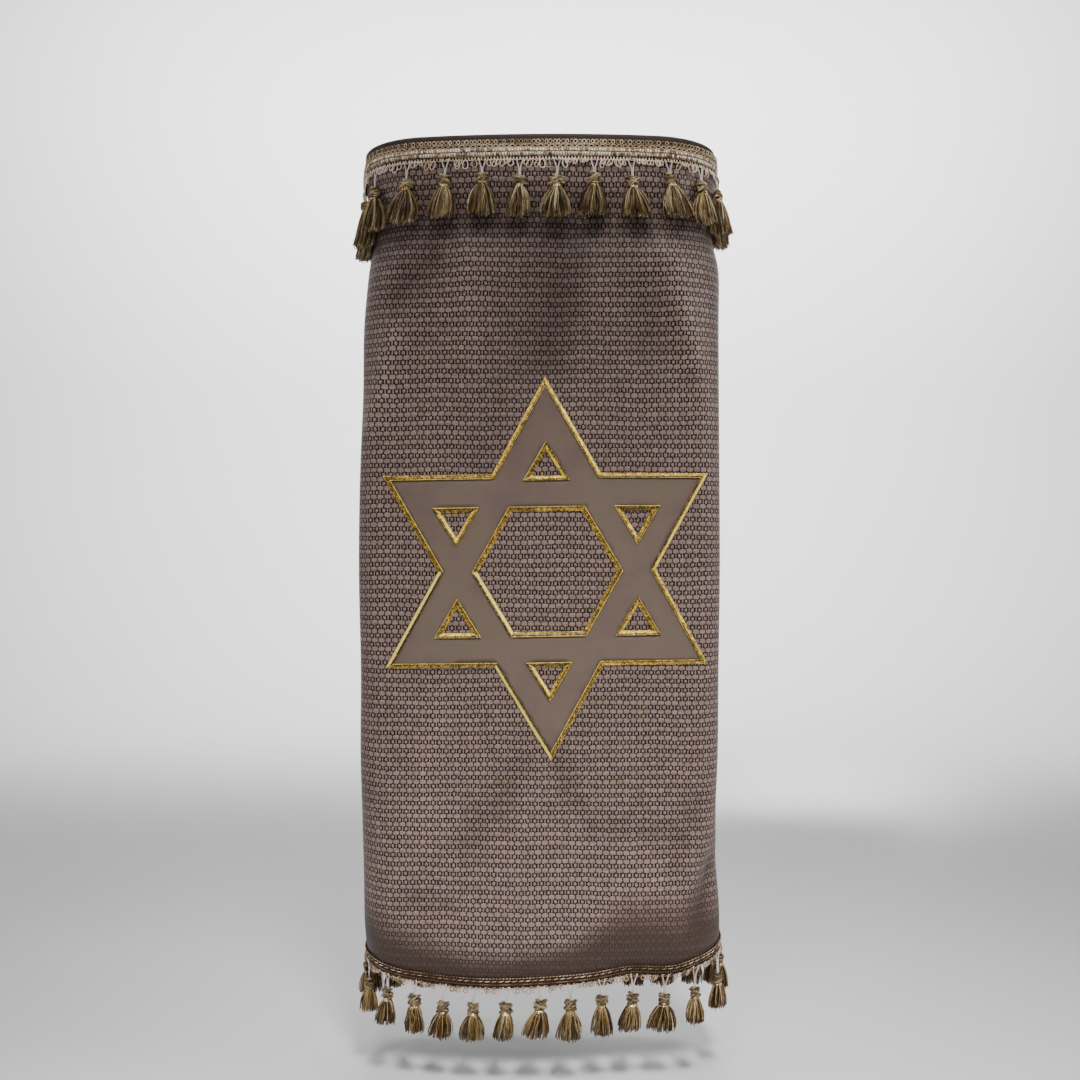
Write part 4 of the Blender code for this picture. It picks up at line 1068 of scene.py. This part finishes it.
class Tassel:
    """One tassel: from a place of a braid it hangs along a middle line, out of a string, a knot, a
    waist and a skirt.
    """

    def __init__(self, line, row, on_cloth, rng):
        self.line = line
        self.place, self.string, self.lean, self.spread, self.length = row
        self.on_cloth = on_cloth
        self.rng = rng
        self.knot_lift = TOP_KNOT_LIFT if on_cloth else HEM_KNOT_LIFT
        self.end_lift = SKIRT_DEPTH * self.spread + SKIRT_CLEARANCE if on_cloth else self.knot_lift
        self.waist_top = self.string + KNOT_HEIGHT
        self.turn = rng.uniform(0, TURN)
        self.outward = line.outward(self.place)

    def middle(self, fall):
        """The middle line, sideways and lift at a fall below the braid.

        It leans as the square of the fall's share of the length. It lifts evenly down to the waist,
        and from there to its end as the share to the power 0.8.
        """
        lift = STRING_LIFT + (self.knot_lift - STRING_LIFT) * np.clip(fall / self.waist_top, 0, 1)
        below = np.clip((fall - self.waist_top) / (self.length - self.waist_top), 0, 1)
        lift = lift + (self.end_lift - self.knot_lift) * below**0.8
        return self.lean * np.clip(fall / self.length, 0, 1) ** 2, lift

    def hung(self, sideways, fall, out, past=0.0):
        """Points sideways and out of the middle line at a fall, and past the fall."""
        side, lift = self.middle(fall)
        return self.line.hung(self.place, side + sideways, fall + past, lift + out)

    def strings(self):
        """Two threads that leave the braid apart and meet below it, each in a sine's sway."""
        fall = np.linspace(-0.0022, self.string + 0.0012, 9)
        part = np.array((-1.0, 1.0))[:, None]
        apart = STRING_CLOSE + (STRING_APART - STRING_CLOSE) * np.clip(1 - fall / STRING_MEETS, 0, 1)
        sway = self.rng.uniform(-0.0004, 0.0004, (2, 1)) * np.sin(math.pi * np.clip(fall / self.string, 0, 1))
        paths = self.hung(part * apart + sway, fall, part * 0.0003)
        return threads(paths, self.outward, STRING_RADIUS, tone=self.rng.uniform(0.5, 1.0, 2))

    def knot(self):
        """A knot: wide rings of plied yarns, tilted one way and the other.

        Each is a ring of cos and sin, wider by the ply's cos and lower by its sin. The rings swell
        as a sine towards the knot's middle, and tilt x cos lowers one side of each.
        """
        rng = self.rng
        around = np.arange(14) * TURN / 14
        level = (np.arange(WINDINGS) + 0.5) / WINDINGS
        tilt = np.where(np.arange(WINDINGS) % 2 == 0, 1.0, -1.0) * rng.uniform(0.45, 1.10, WINDINGS)
        width = KNOT_LEAST + KNOT_SWELL * np.sin(math.pi * level) + rng.uniform(-0.0006, 0.0009, WINDINGS)
        start = rng.uniform(0, TURN, WINDINGS)
        level, tilt, width, start = (np.repeat(value, PLY)[:, None] for value in (level, tilt, width, start))
        twist = np.tile(np.arange(PLY), WINDINGS)[:, None] * TURN / PLY + 3 * around
        ring = width + PLY_SPREAD * np.cos(twist)
        side = ring * np.cos(around) * (1 + 0.18 * np.cos(2 * around + start * 0.2))
        fall = self.string + 0.0012 + level * (KNOT_HEIGHT - 0.0020) + tilt * KNOT_TILT * np.cos(around)
        fall = fall + PLY_SPREAD * np.sin(twist) + 0.0006 * np.abs(np.cos(around))
        paths = self.hung(side, fall, 0.80 * ring * np.sin(around))
        centre = self.hung(0.0, self.string + KNOT_HEIGHT / 2, 0.0)
        tone = rng.uniform(0.15, 0.95, WINDINGS * PLY)
        return threads(paths, paths - centre + 1e-6, KNOT_YARN_RADIUS, closed=True, tone=tone)

    def core(self):
        """The core inside the knot: a ball of sin x cos, sin x sin and cos, with two poles. It takes the
        darkest yarn tone, as painted shade in the gaps between the windings.
        """
        rise = np.linspace(0, math.pi, 7)[1:-1][:, None]
        ring = np.arange(10)
        after = (ring + 1) % 10
        spin = ring * TURN / 10
        fall = self.string + KNOT_HEIGHT / 2 - CORE[2] * np.cos(rise)
        grid = self.hung(CORE[0] * np.sin(rise) * np.cos(spin), fall, CORE[1] * np.sin(rise) * np.sin(spin))
        poles = self.hung(0.0, np.array((self.string, self.waist_top)), 0.0, np.array((0.0002, -0.0002)))
        faces = [grid_faces(5, 10, closed_columns=True)[:, ::-1],
                 np.stack((ring, after, np.full(10, 50)), axis=1),
                 np.stack((40 + after, 40 + ring, np.full(10, 51)), axis=1)]
        return np.vstack((grid.reshape(-1, 3), poles)), faces, {"tone": CORE_PAINTED_SHADE_TONE}

    def waist(self):
        """Metal thread wound round the waist: rings of cos and sin, a little tilted."""
        spin = np.arange(12) * TURN / 12
        coil = np.arange(COILS)[:, None]
        level = self.waist_top + (coil + 0.5) * WAIST_HEIGHT / COILS + 0.0004 * np.sin(spin + self.turn)
        radius = WAIST_RADIUS + 0.0001 * coil
        paths = self.hung(radius * np.cos(spin), level, 0.9 * radius * np.sin(spin))
        centre = paths.mean(axis=1, keepdims=True)
        tone = self.rng.uniform(0, 1, COILS)
        return threads(paths, paths - centre, COIL_RADIUS, 5, closed=True, tone=tone)

    def skirt(self):
        """The skirt: strands fan out from the waist, and the outer ones end a little higher.

        A strand goes from its root to its width by 1 - (1 - t)^1.9, in the direction of its spoke,
        and down by 0.8 t + 0.2 t^2. Its waver is a sine.
        """
        rng = self.rng
        each = (STRANDS, 1)
        t = np.linspace(0, 1, 6)
        spoke = rng.uniform(0, TURN, STRANDS)[:, None]
        lock = (spoke[:, 0] * LOCKS / TURN).astype(int)
        lock_tone = rng.normal(0, 0.08, LOCKS)[lock]
        lock_turn = rng.normal(0, 0.10, LOCKS)[lock]
        spoke = spoke + (lock_turn[:, None] + rng.normal(0, 0.07, each)) * t
        reach = np.sqrt(rng.uniform(0.03, 1.0, STRANDS))[:, None]
        stray = (rng.uniform(0, 1, STRANDS) > 1 - STRAYS)[:, None]
        wide = self.spread * reach * (1 + 0.22 * stray * rng.uniform(0.3, 1, each))
        fan = 1 - (1 - t) ** 1.9
        side = (SKIRT_ROOT * reach * (1 - fan) + wide * fan) * np.cos(spoke)
        out = (0.9 * SKIRT_ROOT * reach * (1 - fan) + SKIRT_DEPTH * wide * fan) * np.sin(spoke)
        waver = rng.normal(0, 0.0005, each) * np.sin(TURN * t * rng.uniform(0.5, 1.4, each))
        top = self.waist_top + WAIST_HEIGHT
        end = (self.length - top) * (1 - 0.10 * reach**2 - 0.16 * stray) + rng.normal(0, 0.0011, each)
        fall = top - 0.0012 + (end + 0.0012) * (0.80 * t + 0.20 * t**2)
        if self.on_cloth:
            out = np.maximum(out, 0.0008 - self.middle(fall)[1])
        paths = self.hung(side + waver, fall, out)
        radius = STRAND_RADIUS * (1 - 0.18 * t) * rng.uniform(0.8, 1.2, each)
        tone = np.clip(rng.normal(0.48, 0.44, STRANDS) + lock_tone, 0.02, 0.84)
        chance = rng.uniform(0, 1, STRANDS)
        tone = np.where(chance > 0.97, 1.0, np.where(chance > 0.93, 0.90, tone))
        return threads(paths, self.outward, radius, 3, tone=tone, run=t[None])


def build_tassels(name, slot, line, rows, on_cloth, seed, knot_yarn, painted_shade):
    """All tassels of a braid: strings, knots, waists and skirts, each kind as one piece."""
    rng = np.random.default_rng(seed)
    strings, knots, waists, skirts = [], [], [], []
    for row in rows:
        tassel = Tassel(line, row, on_cloth, rng)
        strings.append(tassel.strings())
        knots += [tassel.knot(), tassel.core()]
        waists.append(tassel.waist())
        skirts.append(tassel.skirt())
    made = []
    for kind, parts, finish in (
        ("strings", strings, silk_finish(name + "_string_thread", STRING_THREAD)),
        ("knots", knots, silk_finish(name + "_knot_yarn", knot_yarn, 0.5, 1300.0)),
        ("waists", waists, metal_finish()),
        ("skirts", skirts, skirt_finish(name + "_skirt_yarn", painted_shade)),
    ):
        made.append(add(new_piece(f"{name}_{kind}", parts, finish), slot))
    return made


def moved(points):
    """The star's regular plan carried to its sewn shape."""
    a = points[..., 0] / HALF_STAR[0]
    u = points[..., 1] / HALF_STAR[1]
    terms = np.stack((np.ones_like(a), a, u, a * a, a * u, u * u, a**3, a * a * u, a * u * u, u**3), axis=-1)
    return points + np.stack((terms @ MOVES_ACROSS, terms @ MOVES_UP), axis=-1)


def turned(points):
    """Points of the star's regular plan, moved, tilted and set at their place on the front."""
    points = moved(points)
    across, up = points[..., 0], points[..., 1]
    along = STAR_ALONG + across * math.cos(STAR_TILT) - up * math.sin(STAR_TILT)
    drop = STAR_DROP - across * math.sin(STAR_TILT) - up * math.cos(STAR_TILT)
    return np.stack((along, drop), axis=-1)


def polygon(radius, count, first_angle, centre=(0.0, 0.0)):
    """A regular polygon, anticlockwise."""
    angles = first_angle + np.arange(count) * 2 * math.pi / count
    return np.stack((centre[0] + radius * np.cos(angles), centre[1] + radius * np.sin(angles)), axis=1)


def star_outline():
    """The star's twelve corners, anticlockwise from its top point."""
    tips = polygon(STAR_RADIUS, 6, math.pi / 2)
    notches = polygon(STAR_RADIUS / math.sqrt(3), 6, math.pi / 2 + math.pi / 6)
    return np.stack((tips, notches), axis=1).reshape(-1, 2) * (1.0, STAR_STRETCH)


def small_window(number):
    """One of the six small windows, with its point towards the star's point."""
    angle = math.pi / 2 + number * math.pi / 3
    across = SMALL_WINDOW_DISTANCE * math.cos(angle)
    centre = (across, SMALL_WINDOW_DISTANCE * math.sin(angle) - WINDOWS_BELOW)
    flat = polygon(SMALL_WINDOW_SIDE / math.sqrt(3), 3, angle, centre) - centre
    return flat * (1.0, SMALL_WINDOW_SQUASH) + centre


def offset_polygon(corners, distance):
    """Move every edge of an anticlockwise polygon outwards by a distance, with square mitres."""
    before = corners - np.roll(corners, 1, axis=0)
    after = np.roll(corners, -1, axis=0) - corners
    before /= np.linalg.norm(before, axis=1)[:, None]
    after /= np.linalg.norm(after, axis=1)[:, None]
    normal_before = np.stack((before[:, 1], -before[:, 0]), axis=1)
    normal_after = np.stack((after[:, 1], -after[:, 0]), axis=1)
    mitre = normal_before + normal_after
    mitre /= (1 + np.sum(normal_before * normal_after, axis=1))[:, None]
    return corners + distance * mitre


def area_of(corners):
    """A polygon's area, by the shoelace rule."""
    x, y = corners.T
    return abs(np.dot(x, np.roll(y, -1)) - np.dot(y, np.roll(x, -1))) / 2


def inside(points, corners):
    """Which points lie in a polygon, by counting the edges that a level line crosses."""
    start = corners[None]
    end = np.roll(corners, -1, axis=0)[None]
    x = points[:, 0][:, None]
    y = points[:, 1][:, None]
    spans = (start[..., 1] > y) != (end[..., 1] > y)
    fall = np.where(end[..., 1] == start[..., 1], 1.0, end[..., 1] - start[..., 1])
    crossing = start[..., 0] + (y - start[..., 1]) / fall * (end[..., 0] - start[..., 0])
    return np.sum(spans & (crossing > x), axis=1) % 2 == 1


def along_edges(corners, spacing):
    """Points along a polygon's edges, about a spacing apart, with its corners."""
    found = []
    for start, end in zip(corners, np.roll(corners, -1, axis=0)):
        count = max(1, round(np.linalg.norm(end - start) / spacing))
        found.append(start + (end - start) * (np.arange(count) / count)[:, None])
    return np.vstack(found)


def place_on_front(places, lift):
    """Points over places (along, drop) of the front."""
    return on_tube(steps_at(places[..., 0], places[..., 1]), places[..., 1], lift)


def build_panel(windows):
    """The star's suede, a sheet with its windows cut out, filled in with triangles."""
    rims = [turned(along_edges(offset_polygon(corners, -EDGING_WIDTH * share), PANEL_SPACING))
            for corners, share in [(star_outline(), PANEL_UNDER_OUTLINE)]
            + [(corners, PANEL_UNDER_WINDOW) for corners in windows]]
    edges = []
    for rim in rims:
        first = len(edges)
        edges += [(first + number, first + (number + 1) % len(rim)) for number in range(len(rim))]
    across = np.arange(-0.18, 0.18, PANEL_SPACING)
    filling = np.stack(np.meshgrid(across + STAR_ALONG, across * 1.05 + STAR_DROP), axis=-1).reshape(-1, 2)
    near = np.min(np.linalg.norm(filling[:, None] - np.vstack(rims)[None], axis=2), axis=1)
    flat = np.vstack(rims + [filling[near > PANEL_SPACING * 0.6]])
    found = delaunay_2d_cdt([tuple(map(float, point)) for point in flat], edges, [], 0, 1e-7)
    places = np.array([tuple(point) for point in found[0]])
    faces = np.array([tuple(face) for face in found[2]])
    middle = places[faces].mean(axis=1)
    kept = inside(middle, rims[0])
    for rim in rims[1:]:
        kept &= ~inside(middle, rim)
    used, numbers = np.unique(faces[kept], return_inverse=True)
    faces = numbers.reshape(-1, 3)
    points = place_on_front(places[used], PANEL_LIFT)
    normal = np.cross(points[faces[:, 1]] - points[faces[:, 0]], points[faces[:, 2]] - points[faces[:, 0]])
    faces[normal[:, 1] > 0] = faces[normal[:, 1] > 0][:, ::-1]
    panel = new_piece("star_suede", [(points, [faces], {})], suede_finish())
    thicken(panel, PANEL_THICKNESS)
    area = area_of(moved(star_outline())) - sum(area_of(moved(corners)) for corners in windows)
    return add(panel, "star_cloth", "star_panel"), area


def stitch_line(corners, rng, cloth_outside, edge_painted_lights):
    """A raised line of gold stitch just inside a polygon, its section carried round it.

    Every stitch is three columns of points, and the first dips between it and its neighbour.
    """
    section = RIDGE if cloth_outside else (RIDGE * (-1, 1, 1, 1) + (1, 0, 0, 0))[::-1]
    rails = np.array([turned(offset_polygon(corners, EDGING_WIDTH * (share - 1))) for share in section[:, 0]])
    ends = np.roll(rails, -1, axis=1)
    middle = len(section) // 2
    places, dips, tones, edge_painted_light = [], [], [], []
    for edge in range(len(corners)):
        length = np.linalg.norm(ends[middle, edge] - rails[middle, edge])
        count = max(4, round(length / STITCH_PITCH))
        t = np.arange(count * 3)[:, None] / (count * 3)
        places.append(rails[:, edge, None] * (1 - t) + ends[:, edge, None] * t)
        dips.append(np.tile(STITCH_DIPS, count) + np.repeat(rng.uniform(0, 0.00022, count), 3))
        tones.append(np.repeat(rng.uniform(0, 1, count), 3))
        edge_painted_light.append(np.full(count * 3, edge_painted_lights[edge]))
    places = np.concatenate(places, axis=1)
    # Each point keeps its painted light: the section's shaded brightness, moved towards its lit one by the
    # edge's painted light.
    rise, dull, bright = section.T[1:, :, None]
    lift = EDGING_LIFT + rise * EDGING_HEIGHT - np.concatenate(dips) * (rise > 0)
    return grid_part(place_on_front(places, lift), closed_rows=True,
                     tone=np.tile(np.concatenate(tones), len(section)),
                     crest=dull + (bright - dull) * np.concatenate(edge_painted_light))


def build_star():
    """The star: its suede, and a raised gold line round its outline and each window."""
    rng = np.random.default_rng(7)
    window = polygon(WINDOW_RADIUS, 6, 0.0, (0.0, -WINDOWS_BELOW))
    small = [small_window(number) for number in range(6)]
    panel, area = build_panel([window] + small)
    gold = gold_finish()
    small_nodes = [f"small_edging_{number + 1}" for number in range(6)]
    made = []
    for name, lines, outside, edge_painted_lights, nodes in (
        ("star_stitch", [star_outline()], True, [OUTLINE_PAINTED_LIGHT], ["star_edging"]),
        ("window_stitch", [window], False, [WINDOW_PAINTED_LIGHT], ["window_edging"]),
        ("small_stitch", small, False, SMALL_PAINTED_LIGHTS, small_nodes),
    ):
        parts = [stitch_line(corners, rng, outside, edge_painted_light) for corners, edge_painted_light in zip(lines, edge_painted_lights)]
        made.append(add(new_piece(name, parts, gold), "gold_stitch", *nodes))
    return panel, area, made


def build_stage():
    """A round pale floor whose edge curves up into a wall: radius and height follow a bend."""
    bend = np.linspace(0, math.pi / 2, 13)
    wall = BEND_START + BEND_RADIUS
    radius = np.concatenate((FLOOR_RADII, BEND_START + BEND_RADIUS * np.sin(bend), (wall,)))[:, None]
    rise = np.concatenate(((0.0,) * len(FLOOR_RADII), BEND_RADIUS * (1 - np.cos(bend)), (WALL_TOP,)))[:, None]
    spin = np.arange(96) * TURN / 96
    points = xyz(radius * np.cos(spin), radius * np.sin(spin), rise + FLOOR_HEIGHT)
    new_piece("floor", [grid_part(points)], floor_finish())


def build_lights():
    """Soft studio light from the upper left front, with fill, and an even pale surround."""
    for name, place, target, size, watts, spread in LIGHTS:
        light = bpy.data.lights.new(name, "AREA")
        light.shape = "RECTANGLE"
        light.size, light.size_y = size
        light.energy = watts
        light.spread = math.radians(spread)
        lamp = bpy.data.objects.new(name, light)
        lamp.location = place
        lamp.rotation_euler = (Vector(target) - Vector(place)).to_track_quat("-Z", "Y").to_euler()
        lamp.visible_camera = False
        bpy.context.scene.collection.objects.link(lamp)
    world = bpy.data.worlds.new("surround")
    world.use_nodes = True
    background = world.node_tree.nodes["Background"].inputs
    background["Color"].default_value = (1.0, 1.0, 1.0, 1.0)
    background["Strength"].default_value = SURROUND_STRENGTH
    bpy.context.scene.world = world


def build_camera():
    """The photograph's view: level with the star, looking a little down."""
    data = bpy.data.cameras.new("camera")
    data.sensor_width = SENSOR
    data.lens = LENS_PIXELS * SENSOR / PICTURE
    data.shift_y = SHIFT_PIXELS / PICTURE
    data.dof.use_dof = False
    camera = bpy.data.objects.new("camera", data)
    camera.location = (CAMERA_DISTANCE * math.sin(CAMERA_YAW), -CAMERA_DISTANCE * math.cos(CAMERA_YAW),
                       CAMERA_HEIGHT)
    camera.rotation_euler = (math.pi / 2 - CAMERA_PITCH, 0.0, CAMERA_YAW)
    bpy.context.scene.collection.objects.link(camera)
    bpy.context.scene.camera = camera


def main():
    """Dress the mantle, and set the stage."""
    board = build_board()
    build_hole_bindings()
    cloth = build_cloth()
    cream = silk_finish("cream_thread", CREAM_THREAD)
    top_line, top_rows, top_pieces = build_top_braid(cream)
    hem_line, hem_rows, hem_pieces = build_hem_braid(cream)
    top_tassels = build_tassels("top_tassel", "top_trim", top_line, top_rows, True, 101, KNOT_YARN, TOP_SKIRT_PAINTED_SHADE)
    hem_tassels = build_tassels("hem_tassel", "hem_trim", hem_line, hem_rows, False, 202, HEM_KNOT_YARN_IN_SHADE,
                                HEM_SKIRT_PAINTED_SHADE)
    panel, area, stitching = build_star()
    top_pieces + hem_pieces + top_tassels + hem_tassels
    build_stage()
    build_lights()
    build_camera()


main()
